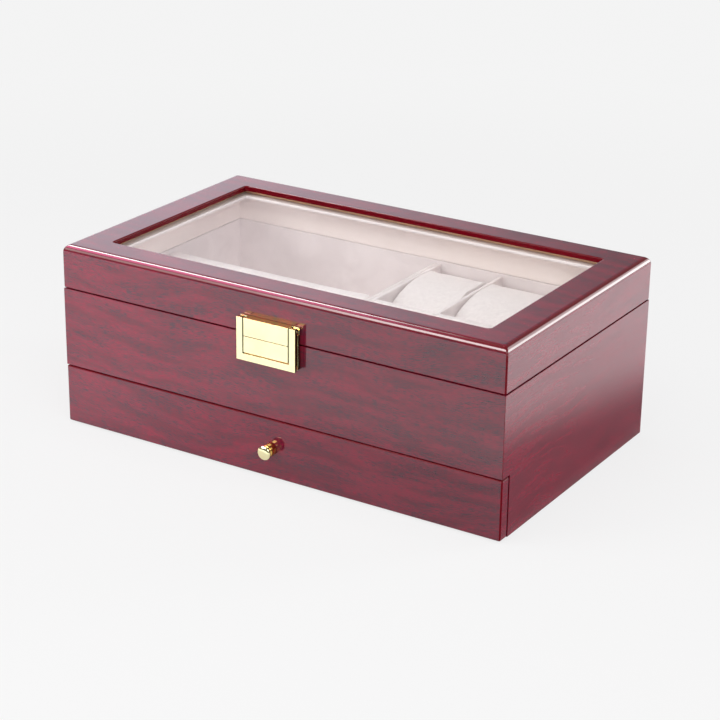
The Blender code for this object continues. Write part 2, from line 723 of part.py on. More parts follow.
def make_hasp(hasp, bore, swing, ahead):
    """The swinging U-shaped frame with its ears and the lower half of the pad."""
    half = LATCH_WIDTH / 2
    over = OVERRUN
    setback = HASP_BACK_Y - LATCH_AXIS_Y
    last = math.asin(setback / EAR_RADIUS)
    arc = []
    for step in range(ROUND_STEPS // 2 + 1):
        angle = math.radians(90) - (math.radians(180) - last) * step / (ROUND_STEPS // 2)
        arc.append((LATCH_AXIS_Y + EAR_RADIUS * math.cos(angle),
                    LATCH_AXIS_Z + EAR_RADIUS * math.sin(angle)))
    step_z = HASP_FOOT + HASP_BACK_INSET
    profile = [(HASP_FRAME_Y, HASP_FOOT), (HASP_FRONT_Y, HASP_FOOT), (HASP_FRONT_Y, HASP_TOP)]
    profile += arc + [(HASP_BACK_Y, step_z), (HASP_FRAME_Y, step_z)]
    frame = brass(outline_plate("latch_hasp", profile, -half, half, "x", carrier=hasp))

    radius = swing + HASP_SWING_GAP
    front_z = LATCH_AXIS_Z - math.sqrt(radius ** 2 - ahead ** 2)
    back_z = LATCH_AXIS_Z - math.sqrt(radius ** 2 - setback ** 2)
    fall = (front_z - back_z) / HASP_THICKNESS
    space = [(HASP_FRONT_Y - over, front_z + fall * over),
             (HASP_BACK_Y + over, back_z - fall * over),
             (HASP_BACK_Y + over, HASP_TOP + over), (HASP_FRONT_Y - over, HASP_TOP + over)]
    cut(frame, outline_plate("pad_space", space, -BAR_X, BAR_X, "x", cutter=True))

    groove_y = HASP_FRONT_Y + HASP_GROOVE_DEPTH
    groove_foot = HASP_FOOT + HASP_BAR
    groove_top = groove_foot + HASP_GROOVE
    cut(frame, block("groove_below", (-BAR_X, HASP_FRONT_Y - over, groove_foot),
                     (BAR_X, groove_y, groove_top), cutter=True))
    for side, sign in (("left", -1), ("right", 1)):
        inner, outer = sorted((sign * PAD_X, sign * BAR_X))
        cut(frame, block("groove_" + side, (inner, HASP_FRONT_Y - over, groove_foot),
                         (outer, groove_y, HASP_TOP + over), cutter=True))
        inner, outer = sorted((sign * (half - HASP_BACK_INSET), sign * (half + over)))
        cut(frame, block("back_step_" + side, (inner, HASP_FRAME_Y, HASP_FOOT - over),
                         (outer, HASP_BACK_Y + over, LATCH_AXIS_Z - EAR_RADIUS), cutter=True))
    cut(frame, bore)


# Hinges

def knuckle_span(index):
    length = (HINGE_LENGTH - GAP * (HINGE_KNUCKLES + 1)) / HINGE_KNUCKLES
    start = -HINGE_LENGTH / 2 + GAP + index * (length + GAP)
    return start, start + length


def leaf_outline(x, own):
    """A leaf with a tab out to the barrel at each of its own knuckles."""
    near, edge = HALF_Y - HINGE_LEAF_DEPTH, HALF_Y
    outline = [(x - HINGE_LENGTH / 2, near), (x + HINGE_LENGTH / 2, near), (x + HINGE_LENGTH / 2, edge)]
    for index in reversed(own):
        start, end = knuckle_span(index)
        outline += [(x + end, edge), (x + end, HINGE_AXIS_Y), (x + start, HINGE_AXIS_Y), (x + start, edge)]
    outline.append((x - HINGE_LENGTH / 2, edge))
    return outline


def make_leaf(name, x, low, own, bore, carrier=None):
    leaf = outline_plate(name, leaf_outline(x, own), low, low + HINGE_LEAF, "z", carrier=carrier)
    brass(leaf)
    for index in own:
        start, end = knuckle_span(index)
        knuckle = rod("%s_knuckle_%d" % (name, index), HINGE_BARREL_RADIUS, end - start,
                      (x + (start + end) / 2, HINGE_AXIS_Y, SEAM_Z), "x", cutter=True)
        combine(leaf, knuckle, "UNION")
    return cut(leaf, bore)


def mortise(name, x, low, high):
    """The recess that a leaf lies in, open at the back and at the seam."""
    half = HINGE_LENGTH / 2 + GAP
    return block(name, (x - half, HALF_Y - HINGE_LEAF_DEPTH - GAP, low),
                 (x + half, HALF_Y + OVERRUN, high), cutter=True)


def screw_profile(extra):
    """A countersunk screw, or with an extra radius the hole that it goes in."""
    head, shank = HINGE_SCREW_HEAD_RADIUS + extra, HINGE_SCREW_RADIUS + extra
    top = extra
    return [(0, top), (head, top), (head, -extra / 3), (shank, -HINGE_LEAF - extra / 3),
            (shank, -HINGE_SCREW_LENGTH - extra), (0, -HINGE_SCREW_LENGTH - extra)]


def add_screws(name, x, z, turn, leaf, wood, carrier=None):
    y = HALF_Y - HINGE_LEAF_DEPTH / 2
    for number, sign in enumerate((-1, 1), 1):
        place = (x + sign * HINGE_SCREW_SPACING / 2, y, z)
        hole = turned("%s_hole_%d" % (name, number), screw_profile(GAP), place, turn, steps=12, cutter=True)
        cut(leaf, hole)
        cut(wood, hole)
        profile = screw_profile(0)
        del profile[2]
        steel(turned("%s_%d" % (name, number), profile, place, turn, steps=12, carrier=carrier))


def make_hinges(lid, lid_wood, case_wood):
    case_leaf_low = CASE_TOP - GAP / 2 - HINGE_LEAF
    lid_leaf_low = LID_FOOT + GAP / 2
    for side, x in (("left", -HINGE_X), ("right", HINGE_X)):
        bore = rod("hinge_bore_" + side, HINGE_PIN_RADIUS + GAP, HINGE_LENGTH + OVERRUN,
                   (x, HINGE_AXIS_Y, SEAM_Z), "x", cutter=True)
        lower = make_leaf("hinge_case_leaf_" + side, x, case_leaf_low, (0, 2, 4), bore)
        upper = make_leaf("hinge_lid_leaf_" + side, x, lid_leaf_low, (1, 3), bore, carrier=lid)
        cut(case_wood, mortise("case_mortise_" + side, x, case_leaf_low - GAP, CASE_TOP + OVERRUN))
        lid_leaf_top = lid_leaf_low + HINGE_LEAF
        cut(lid_wood, mortise("lid_mortise_" + side, x, LID_FOOT - OVERRUN, lid_leaf_top + GAP))
        brass(rod("hinge_pin_" + side, HINGE_PIN_RADIUS, HINGE_LENGTH, (x, HINGE_AXIS_Y, SEAM_Z), "x"))
        add_screws("case_hinge_screw_" + side, x, case_leaf_low + HINGE_LEAF, "z", lower, case_wood)
        add_screws("lid_hinge_screw_" + side, x, lid_leaf_low, "down", upper, lid_wood, carrier=lid)


def main():
    start_scene()
    lid = add_carrier("lid_axis", (0, HINGE_AXIS_Y, SEAM_Z))
    hasp = add_carrier("hasp_axis", (0, LATCH_AXIS_Y, LATCH_AXIS_Z), lid)
    drawer = add_carrier("drawer_axis", (0, -HALF_Y, DRAWER_FOOT))

    rails = make_lid_boards(lid)
    make_glass(lid)
    lining_strip("lid_lining", LID_FOOT + LID_LINING_RAISE, RETAINER_FOOT - GAP, carrier=lid)
    walls = make_case_boards()
    make_floors()
    make_tray()
    make_pillows()
    make_drawer(drawer)
    make_latch(lid, hasp)
    make_hinges(lid, rails["lid_back_rail"], walls["case_back_wall"])


main()
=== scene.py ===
# Watch and jewelry box: the looks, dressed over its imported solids.
# Metres, +Z up, the front faces -Y. Sizes come from the frame where it has them.

import math

import bmesh
import bpy
from mathutils import Matrix, Vector, noise


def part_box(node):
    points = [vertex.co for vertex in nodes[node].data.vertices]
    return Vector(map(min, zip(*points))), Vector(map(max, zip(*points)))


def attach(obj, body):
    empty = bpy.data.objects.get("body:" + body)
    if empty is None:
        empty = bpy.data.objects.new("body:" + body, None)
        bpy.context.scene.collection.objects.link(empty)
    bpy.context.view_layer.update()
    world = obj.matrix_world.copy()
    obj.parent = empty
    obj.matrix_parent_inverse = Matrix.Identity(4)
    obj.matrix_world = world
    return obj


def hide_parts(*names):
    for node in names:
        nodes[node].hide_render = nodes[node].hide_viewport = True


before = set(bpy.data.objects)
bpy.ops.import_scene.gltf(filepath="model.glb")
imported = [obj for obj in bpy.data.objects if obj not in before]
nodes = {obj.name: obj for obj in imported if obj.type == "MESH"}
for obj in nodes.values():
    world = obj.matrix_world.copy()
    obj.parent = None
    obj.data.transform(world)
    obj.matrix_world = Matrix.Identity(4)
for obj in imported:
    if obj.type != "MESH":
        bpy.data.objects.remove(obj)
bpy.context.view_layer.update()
mm = 0.001


def boxOf(*names):  # lowest and highest corner of some nodes together
    corners = [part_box(name) for name in names]
    low = Vector([min(c[0][axis] for c in corners) for axis in range(3)])
    high = Vector([max(c[1][axis] for c in corners) for axis in range(3)])
    return low, high


def addObject(name, data):
    piece = bpy.data.objects.new(name, data)
    bpy.context.scene.collection.objects.link(piece)
    return piece


def meshOf(name, bm):
    mesh = bpy.data.meshes.new(name)
    bm.to_mesh(mesh)
    bm.free()
    return mesh


# Camera and studio

cameraView = {
    "place": (0.692998, -1.107929, 0.573262),
    "azimuth": 31.876,  # degrees, turned left from looking along +Y
    "elevation": 21.83,
    "roll": 0.781,
    "lens": 104.0855,
    "sensor": 36,
}

studio = {
    "floorSize": 14,
    "backgroundTone": 0.902,  # as the camera sees the floor
    "floorTone": 0.80,
    "mirroredFloor": 0.94,  # the floor's tone in the polish: in front, beside the box (a painted shadow) and further off (painted light)
    "besideShadow": 0.24,
    "paleTone": 1.06,
    "darkTo": 0.22,
    "paleFrom": 0.295,
    "footShadow": 0.66,  # a painted shadow in the polished floor, right in front of the drawer, towards its right end
    "shadowShare": 0.14,  # how much of the floor's own light and shade shows
    "shadowReach": 1.0,
    "besideFrom": (0.15, 0.18),  # to the right of the box
    "paleOver": 0.06,
    "footDepth": (-0.22, -0.16),  # the reach of the foot's painted shadow along y and x
    "footWidth": (-0.20, -0.02),
    "shadowFrom": 0.4,
    "brightFrom": -0.60,  # the bright back wall, by how far a direction points to the left
    "brightTo": -0.36,
    "brightWall": (1.0, 0.95, 1.05, 1),
    "dimWall": (0.24, 0.23, 0.24, 1),
    "mirrorDim": 0.20,  # the dark parts of the room in the polish
    "stripTone": 17,
    "windowTone": 11,
    "pinkTone": 2.8,
    "sideTone": 2.6,
    "pink": (2.5, 0.70, 1.28, 1),
}

mirroredRoom = {  # soft steps along x, y or z of a direction; each zone is where all of its steps are open
    "strip": (("y", 0.05, 0.09), ("y", 0.30, 0.24), ("z", 0.55, 0.65), ("x", -0.44, -0.52)),
    "field": (("y", -0.45, -0.35), ("y", 0.08, 0.03), ("z", 0.45, 0.6), ("x", -0.44, -0.54)),
    "window": (("y", -0.82, -0.74), ("y", -0.44, -0.54), ("z", 0.25, 0.35), ("x", 0.1, -0.1)),
    "paleWall": (("x", 0.20, 0.34), ("y", 0.45, 0.65), ("z", -0.2, 0.0), ("z", 0.6, 0.45)),
    "windowRise": (-0.56, -0.46),  # the window grows brighter to the right
}

lamps = {  # place, aim, size, power and whether the polish mirrors it
    "overheadLight": ((0.1, -0.5, 1.5), (0.1, -0.2, 0), (2.0, 1.6), 19, False),
    "keyLight": ((-0.90, -0.90, 0.80), (0, 0, 0.05), (0.9, 0.8), 8, False),
    "frontLight": ((-0.1, -1.7, 0.50), (0, 0, 0.1), (1.4, 0.4), 9, False),
    "fillLight": ((1.25, -1.0, 1.10), (0, 0, 0.08), (0.8, 0.8), 9, True),
    "rightLight": ((1.3, 1.7, 0.42), (0, 0, 0.05), (1.2, 0.6), 9, True),
    "floorLight": ((0.95, 0.95, 0.55), (0.42, 0.42, 0), (0.4, 0.4), 4, False),
}


def makeCamera():
    turn = math.radians(cameraView["azimuth"])
    rise = math.radians(cameraView["elevation"])
    roll = math.radians(cameraView["roll"])
    forward = Vector((-math.sin(turn) * math.cos(rise), math.cos(turn) * math.cos(rise), -math.sin(rise)))
    level = Vector((math.cos(turn), math.sin(turn), 0))
    upright = level.cross(forward)
    right = level * math.cos(roll) + upright * math.sin(roll)
    up = upright * math.cos(roll) - level * math.sin(roll)
    lens = bpy.data.cameras.new("camera")
    lens.sensor_width = cameraView["sensor"]
    lens.lens = cameraView["lens"]
    lens.clip_end = 50
    camera = addObject("camera", lens)
    camera.rotation_euler = Matrix((right, up, -forward)).transposed().to_euler()
    camera.location = cameraView["place"]
    bpy.context.scene.camera = camera


# Node helpers

def linear(red, green, blue):  # a colour as it is seen, 0 to 255, in the shader's own scale
    values = []
    for value in (red, green, blue):
        value /= 255
        values.append(value / 12.92 if value <= 0.04045 else ((value + 0.055) / 1.055) ** 2.4)
    return (*values, 1)


def addNode(tree, kind, inputs=None, **settings):
    node = tree.nodes.new(kind)
    for key, value in settings.items():
        setattr(node, key, value)
    for key, value in (inputs or {}).items():
        socket = node.inputs[key]
        if isinstance(value, bpy.types.NodeSocket):
            tree.links.new(value, socket)
        else:
            socket.default_value = value
    return node


def follow(kind, inputs, output=0, **settings):  # a node in the tree that its inputs come from
    tree = next(value.id_data for value in inputs.values() if isinstance(value, bpy.types.NodeSocket))
    return addNode(tree, kind, inputs, **settings).outputs[output]


def calc(operation, first, second=0.0):
    return follow("ShaderNodeMath", {0: first, 1: second}, operation=operation)


def times(first, second):
    return calc("MULTIPLY", first, second)


def plus(first, second):
    return calc("ADD", first, second)


def minus(first, second):
    return calc("SUBTRACT", first, second)


def between(share, first, second):
    return plus(times(minus(1.0, share), first), times(share, second))


def blendColor(share, first, second, mode="MIX"):
    return follow("ShaderNodeMix", {0: share, 6: first, 7: second}, 2, data_type="RGBA", blend_type=mode)


def band(value, start, end, low=0.0, high=1.0):  # a soft step from start to end
    return follow("ShaderNodeMapRange", {0: value, 1: start, 2: end, 3: low, 4: high},
                  interpolation_type="SMOOTHSTEP")


def cloud(vector, scale, detail, roughness, size=(1, 1, 1), place=(0, 0, 0), swirl=0.0):
    spot = follow("ShaderNodeMapping", {"Vector": vector, "Location": place, "Scale": size})
    return follow("ShaderNodeTexNoise", {"Vector": spot, "Scale": scale, "Detail": detail,
                                         "Roughness": roughness, "Distortion": swirl})


def bump(height, strength, distance, normal=None):
    inputs = {"Height": height, "Strength": strength, "Distance": distance}
    if normal:
        inputs["Normal"] = normal
    return follow("ShaderNodeBump", inputs)


def newMaterial(name, **values):
    material = bpy.data.materials.new(name)
    material.use_nodes = True
    tree = material.node_tree
    shader = tree.nodes["Principled BSDF"]
    for key, value in values.items():
        shader.inputs[key.replace("_", " ")].default_value = value
    return material, tree, shader


def objectSpot(tree):
    return addNode(tree, "ShaderNodeTexCoord").outputs["Object"]


def faceMark(tree, name):  # a value that the faces of a mesh carry
    return addNode(tree, "ShaderNodeAttribute", attribute_name=name).outputs["Fac"]


# Materials

lacquerLook = {
    "crimson": linear(137, 20, 50),
    "wine": linear(100, 19, 41),
    "smoke": linear(58, 38, 52),
    "sandedEdge": linear(94, 5, 17),
    "rawBoard": linear(214, 178, 146),
    "roughness": 0.15,
    "specular": 0.25,
    "coatRoughness": 0.02,
    "thinCoat": 0.12,  # what is left of the coat on cut edges and on bare board
    "wanderSize": (15, 30, 1),  # waves per metre along and across the grain
    "wanderReach": 10 * mm,
    "leanSize": (7, 10, 1),
    "leanReach": 30 * mm,
    "toneSize": (18, 120, 1),
    "patchSize": (24, 90, 1),
    "streakLength": 10 * mm,
    "streakWidth": 0.7 * mm,
    "fleckLength": 5 * mm,
    "fleckWidth": 0.36 * mm,
    "toneBand": (0.38, 0.64),
    "streakBand": (0.51, 0.60),
    "streakPatch": (0.40, 0.62),
    "fleckBand": (0.47, 0.56),
    "fleckPatch": (0.30, 0.60, 0.5, 1.0),
    "toneDepth": (0.8, 0.55),  # on the front and top, and on the calmer sides
    "streakDepth": (0.6, 0.3),
    "fleckDepth": (0.85, 0.3),
    "rightShade": 0.62,  # painted shade: the front darkens towards its right end, where less light falls
}


def lacquerMaterial():
    look = lacquerLook
    material, tree, shader = newMaterial("redLacquer", Roughness=look["roughness"], Coat_IOR=1.5,
                                         Coat_Roughness=look["coatRoughness"])
    spot = addNode(tree, "ShaderNodeUVMap", uv_map="grain").outputs[0]
    along, height = addNode(tree, "ShaderNodeSeparateXYZ", {0: spot}).outputs[:2]
    wander = cloud(spot, 1, 2, 0.5, size=look["wanderSize"])
    lean = cloud(spot, 1, 1, 0.5, size=look["leanSize"], place=(3, 7, 0))
    shift = plus(times(minus(wander, 0.5), look["wanderReach"]), times(minus(lean, 0.5), look["leanReach"]))
    flow = addNode(tree, "ShaderNodeCombineXYZ", {0: along, 1: plus(height, shift)}).outputs[0]

    streakSize = (1 / look["streakLength"], 1 / look["streakWidth"], 1)
    fleckSize = (1 / look["fleckLength"], 1 / look["fleckWidth"], 1)
    streaks = cloud(flow, 1, 3, 0.6, size=streakSize)
    tone = cloud(flow, 1, 3, 0.6, size=look["toneSize"], place=(11, 3, 0))
    patches = cloud(flow, 1, 3, 0.6, size=look["patchSize"], place=(5, 17, 0))
    flecks = cloud(flow, 1, 3, 0.65, size=fleckSize, place=(1, 2, 0))

    calm = faceMark(tree, "calm")
    toneDepth, streakDepth, fleckDepth = (band(calm, 0, 1, *look[key])
                                          for key in ("toneDepth", "streakDepth", "fleckDepth"))
    dark = times(band(tone, *look["toneBand"]), toneDepth)
    body = blendColor(dark, look["crimson"], look["wine"])
    thick = times(band(streaks, *look["streakBand"]), band(patches, *look["streakPatch"]))
    body = blendColor(times(thick, streakDepth), body, look["smoke"])
    thin = times(band(flecks, *look["fleckBand"]), band(patches, *look["fleckPatch"]))
    body = blendColor(times(thin, fleckDepth), body, look["smoke"])

    # painted shade from left to right on the front, darker to the right where less light falls; its grain
    # runs from -0.17 to 0.17 m and the top has little of it
    paintedFalloff = times(band(along, -0.17, 0.17), band(along, 0.3, 0.5, 1.0, 0.0))
    paintedFalloff = times(paintedFalloff, band(height, 0.3, 0.5, 1.0, 0.15))
    paintedFalloff = minus(1.0, times(paintedFalloff, 1 - look["rightShade"]))
    body = blendColor(1.0, body, paintedFalloff, "MULTIPLY")

    raw = faceMark(tree, "raw")
    color = blendColor(faceMark(tree, "sanded"), body, look["sandedEdge"])
    tree.links.new(blendColor(raw, color, look["rawBoard"]), shader.inputs["Base Color"])
    uncoated = calc("MAXIMUM", raw, faceMark(tree, "bare"))
    coat = band(uncoated, 0, 1, 1.0, look["thinCoat"])
    tree.links.new(coat, shader.inputs["Coat Weight"])
    tree.links.new(times(coat, look["specular"]), shader.inputs["Specular IOR Level"])
    skin = cloud(objectSpot(tree), 55, 1, 0.4)  # the slow waves of a polished coat
    tree.links.new(bump(skin, 0.05, 2 * mm), shader.inputs["Coat Normal"])
    return material


brassLook = {
    "gold": linear(255, 250, 200),
    "deep": linear(250, 235, 168),
    # painted shade: the recesses, the upper faces and the side faces get darker copies of the brass, where
    # less light is mirrored
    "recessShade": linear(128, 98, 40),
    "upperFaceShade": linear(232, 194, 104),
    "sideFaceShade": linear(98, 66, 34),
    "roughness": 0.05,
    "lineDepth": 0.05,
}


def brassMaterial():
    look = brassLook
    material, tree, shader = newMaterial("polishedBrass", Metallic=1.0)
    spot = objectSpot(tree)
    tarnish = cloud(spot, 90, 3, 0.6)
    flank = faceMark(tree, "flank")
    color = blendColor(band(tarnish, 0.35, 0.75, 0, 0.35), look["gold"], look["deep"])
    # painted shade on the upper and side faces and in the recesses
    color = blendColor(band(flank, 0, 0.5), color, look["upperFaceShade"])
    color = blendColor(band(flank, 0.5, 1), color, look["sideFaceShade"])
    color = blendColor(faceMark(tree, "recess"), color, look["recessShade"])
    tree.links.new(color, shader.inputs["Base Color"])
    lines = cloud(spot, 1, 2, 0.5, size=(120, 120, 4200))
    rough = plus(times(lines, look["lineDepth"]), look["roughness"])
    tree.links.new(rough, shader.inputs["Roughness"])
    return material


def steelMaterial():
    material, tree, shader = newMaterial("platedSteel", Metallic=1.0)
    wear = cloud(objectSpot(tree), 600, 3, 0.6)
    color = blendColor(wear, linear(205, 190, 150), linear(150, 140, 120))
    tree.links.new(color, shader.inputs["Base Color"])
    tree.links.new(plus(times(wear, 0.3), 0.15), shader.inputs["Roughness"])
    return material


clothLook = {  # name, pale and deep colour, pile and mottle per metre, sheen
    "velvet": ("creamVelvet", linear(246, 236, 235), linear(236, 225, 224), 1500, 40, 0.25),
    # painted light: the lid's lining is a brighter, warmer copy of the velvet, standing in for light bounced
    # inside the lid
    "litLidVelvet": ("paintedLightVelvet", linear(255, 243, 238), linear(251, 238, 232), 1500, 40, 0.3),
    "suede": ("whiteSuede", linear(243, 234, 232), linear(233, 223, 222), 1300, 500, 0.25),
    "felt": ("blackFelt", linear(34, 32, 33), linear(20, 19, 20), 1200, 60, 0.2),
}


def clothMaterial(name, pale, deep, pile, mottle, sheen):
    material, tree, shader = newMaterial(name, Roughness=0.95, Sheen_Weight=sheen, Sheen_Roughness=0.45,
                                         Specular_IOR_Level=0.15)
    spot = objectSpot(tree)
    nap = cloud(spot, mottle, 4, 0.62, swirl=0.4)  # where the pile was brushed the other way
    fine = cloud(spot, pile, 2, 0.6)
    color = blendColor(band(nap, 0.34, 0.68), pale, deep)
    color = blendColor(band(fine, 0.35, 0.70, 0, 0.22), color, deep)
    tree.links.new(color, shader.inputs["Base Color"])
    brushed = bump(nap, 0.25, 0.6 * mm)
    tree.links.new(bump(fine, 0.5, 0.4 * mm, brushed), shader.inputs["Normal"])
    return material


def glassMaterial():
    material, tree, shader = newMaterial("clearGlass")
    see = addNode(tree, "ShaderNodeBsdfTransparent", {"Color": (0.985, 0.992, 0.988, 1)})
    gloss = addNode(tree, "ShaderNodeBsdfGlossy", {"Roughness": 0.0})
    facing = addNode(tree, "ShaderNodeFresnel", {"IOR": 1.45}).outputs[0]
    inside = addNode(tree, "ShaderNodeNewGeometry").outputs["Backfacing"]
    share = times(facing, minus(1.0, inside))
    mix = addNode(tree, "ShaderNodeMixShader", {0: share, 1: see.outputs[0], 2: gloss.outputs[0]})
    tree.links.new(mix.outputs[0], tree.nodes["Material Output"].inputs["Surface"])
    tree.nodes.remove(shader)
    return material


def boardMaterial():
    material, tree, shader = newMaterial("stainedBoard", Roughness=0.55, Coat_Weight=0.2, Coat_Roughness=0.3)
    spot = objectSpot(tree)
    fibre = cloud(spot, 1, 5, 0.65, size=(30, 220, 600))
    specks = cloud(spot, 1400, 2, 0.6)
    color = blendColor(band(fibre, 0.35, 0.68), linear(104, 62, 44), linear(66, 36, 28))
    color = blendColor(band(specks, 0.5, 0.8, 0, 0.4), color, linear(46, 26, 22))
    tree.links.new(color, shader.inputs["Base Color"])
    tree.links.new(bump(fibre, 0.3, 0.3 * mm), shader.inputs["Normal"])
    return material


finish = {}


def makeFinishes():
    finish["lacquer"] = lacquerMaterial()
    finish["brass"] = brassMaterial()
    finish["steel"] = steelMaterial()
    finish["glass"] = glassMaterial()
    finish["board"] = boardMaterial()
    for key, values in clothLook.items():
        finish[key] = clothMaterial(*values)


# Mesh helpers

def linkPiece(name, mesh, material):
    mesh.materials.clear()
    mesh.materials.append(finish[material])
    return addObject(name, mesh)


def pieceOf(name, bm, material, sharpFrom=38):
    mesh = meshOf(name, bm)
    mesh.shade_smooth()
    mesh.set_sharp_from_angle(angle=math.radians(sharpFrom))
    return linkPiece(name, mesh, material)


def settle(piece):  # applies all modifiers, so that the mesh is the finished one
    bpy.context.view_layer.update()
    evaluated = piece.evaluated_get(bpy.context.evaluated_depsgraph_get())
    mesh = bpy.data.meshes.new_from_object(evaluated)
    old = piece.data
    piece.modifiers.clear()
    piece.data = mesh
    bpy.data.meshes.remove(old)
    return piece


def flatten(piece):  # broad flat faces keep their own normal beside a small rounded edge
    weights = piece.modifiers.new("normals", "WEIGHTED_NORMAL")
    weights.mode = "FACE_AREA"
    weights.weight = 60
    weights.keep_sharp = True
    return settle(piece)


def dress(piece, body, slot, *replaced):
    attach(piece, body)
    if replaced:
        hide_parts(*replaced)
    return piece


def mergedCopy(mesh):  # loose triangles joined, with flat faces as single faces
    bm = bmesh.new()
    bm.from_mesh(mesh)
    bmesh.ops.remove_doubles(bm, verts=bm.verts, dist=0.02 * mm)
    bmesh.ops.dissolve_limit(bm, angle_limit=math.radians(1.5), verts=bm.verts, edges=bm.edges)
    return bm


def roundEdges(bm, width, segments):
    edges = [edge for edge in bm.edges if edge.is_manifold and edge.is_convex
             and edge.calc_face_angle(0) > math.radians(30)]
    bmesh.ops.bevel(bm, geom=edges, offset=width, segments=segments, profile=0.5, affect="EDGES",
                    clamp_overlap=True)


def softNode(node, material, slot, body, width, segments, stretch=None):
    bm = mergedCopy(nodes[node].data)
    if stretch:  # the edge at one height goes to another
        for vertex in bm.verts:
            if abs(vertex.co.z - stretch[0]) < 0.05 * mm:
                vertex.co.z = stretch[1]
    roundEdges(bm, width, segments)
    piece = pieceOf(node + "Dressed", bm, material)
    flatten(piece)
    return dress(piece, body, slot, node)


def boxMesh(low, high):
    bm = bmesh.new()
    size = Vector(high) - Vector(low)
    middle = (Vector(high) + Vector(low)) / 2
    bmesh.ops.create_cube(bm, size=1, matrix=Matrix.Translation(middle) @ Matrix.Diagonal((*size, 1)))
    return bm


def cutWith(piece, bm):  # takes a closed form away from a piece
    cutter = addObject("cutter", meshOf("cutter", bm))
    boolean = piece.modifiers.new("cut", "BOOLEAN")
    boolean.operation = "DIFFERENCE"
    boolean.solver = "EXACT"
    boolean.object = cutter
    settle(piece)
    dropForm(cutter)


def roundedRing(halfX, halfY, radius, steps):
    points = []
    for corner, (signX, signY) in enumerate(((1, 1), (-1, 1), (-1, -1), (1, -1))):
        for step in range(steps + 1):
            angle = math.radians(90) * (corner + step / steps)
            points.append((signX * (halfX - radius) + radius * math.cos(angle),
                           signY * (halfY - radius) + radius * math.sin(angle)))
    return points


def ringLoft(levels, steps):  # a closed frame: each level is half x, half y, corner radius and height
    bm = bmesh.new()
    rings = []
    for halfX, halfY, radius, height in levels:
        rings.append([bm.verts.new((x, y, height)) for x, y in roundedRing(halfX, halfY, radius, steps)])
    for lower, upper in zip(rings, rings[1:] + rings[:1]):
        for index, corner in enumerate(lower):
            bm.faces.new((lower[index - 1], corner, upper[index], upper[index - 1]))
    bmesh.ops.recalc_face_normals(bm, faces=bm.faces)
    return bm


def quarter(radius, steps):  # inset and rise pairs round an edge, from the inset end
    pairs = []
    for step in range(steps + 1):
        angle = math.radians(90) * step / steps
        pairs.append((radius * (1 - math.sin(angle)), radius * (1 - math.cos(angle))))
    return pairs


grainLook = {
    "edgeFrom": 0.01,  # how far a face leans away from its side before the veneer is cut through
    "edgeOver": 0.06,
    "topShift": 0.9,  # the sides lie apart in the map, so that each has a veneer of its own
    "backShift": 0.5,
    "rightShift": 1.3,
    "leftShift": 2.1,
    "sideFineness": (1.3, 1.7),  # the sides have a finer grain than the front
}


def layGrain(piece, kindOf=None):
    # the "grain" map runs along x on the front, back and top and along y on the sides, in metres;
    # "sanded" is 1 where the veneer is cut through on a rounded edge, "bare" where the coat is thin too,
    # "raw" on uncovered board and "calm" on the plainer veneer of the sides
    look = grainLook
    mesh = piece.data
    mesh.uv_layers.new(name="grain")
    names = ("sanded", "bare", "raw", "calm")
    for name in names:
        mesh.attributes.new(name, "FLOAT", "FACE")
    grain = mesh.uv_layers["grain"]
    marks = [mesh.attributes[name].data for name in names]
    for face in mesh.polygons:
        sizes = [abs(value) for value in face.normal]
        main = max(sizes)
        axis = sizes.index(main)
        kind = kindOf(face) if kindOf else None
        edge = min(1, max(0, (1 - main - look["edgeFrom"]) / look["edgeOver"]))
        sanded = 1 if kind == "cut" else edge
        bare = 0 if kind == "polished" else sanded
        for mark, value in zip(marks, (sanded, bare, kind == "raw", axis == 0)):
            mark[face.index].value = value
        for loop in face.loop_indices:
            x, y, z = mesh.vertices[mesh.loops[loop].vertex_index].co
            if axis == 2:
                spot = (x, y + look["topShift"])
            elif axis == 1:
                spot = (x + (look["backShift"] if face.normal.y > 0 else 0), z)
            else:
                shift = look["rightShift"] if face.normal.x > 0 else look["leftShift"]
                alongSide, upSide = look["sideFineness"]
                spot = (y * alongSide + shift, z * upSide + shift)
            grain.data[loop].uv = spot


# Repeated pieces: one form, placed many times by a node tree

def startTree(name, inputs):
    tree = bpy.data.node_groups.new(name, "GeometryNodeTree")
    tree.interface.new_socket("Points", in_out="INPUT", socket_type="NodeSocketGeometry")
    for label, kind in inputs:
        tree.interface.new_socket(label, in_out="INPUT", socket_type="NodeSocket" + kind)
    tree.interface.new_socket("Result", in_out="OUTPUT", socket_type="NodeSocketGeometry")
    return tree, addNode(tree, "NodeGroupInput").outputs


def endTree(tree, given, points, form, **more):  # puts a form on points
    shape = addNode(tree, "GeometryNodeObjectInfo", {"Object": form}).outputs["Geometry"]
    placed = follow("GeometryNodeInstanceOnPoints", {"Points": points, "Instance": shape, **more})
    real = follow("GeometryNodeRealizeInstances", {0: placed})
    dressed = follow("GeometryNodeSetMaterial", {"Geometry": real, "Material": given["Finish"]})
    addNode(tree, "NodeGroupOutput", {"Result": dressed})
    return tree


def grow(name, points, tree, values):  # runs a tree on some points and keeps the plain mesh
    mesh = bpy.data.meshes.new(name)
    mesh.from_pydata(points, [], [])
    piece = addObject(name, mesh)
    modifier = piece.modifiers.new("tree", "NODES")
    modifier.node_group = tree
    for item in tree.interface.items_tree:
        if item.name in values:
            modifier[item.identifier] = values[item.name]
    return settle(piece)


def dropForm(form):
    mesh = form.data
    bpy.data.objects.remove(form)
    bpy.data.meshes.remove(mesh)


# Lid

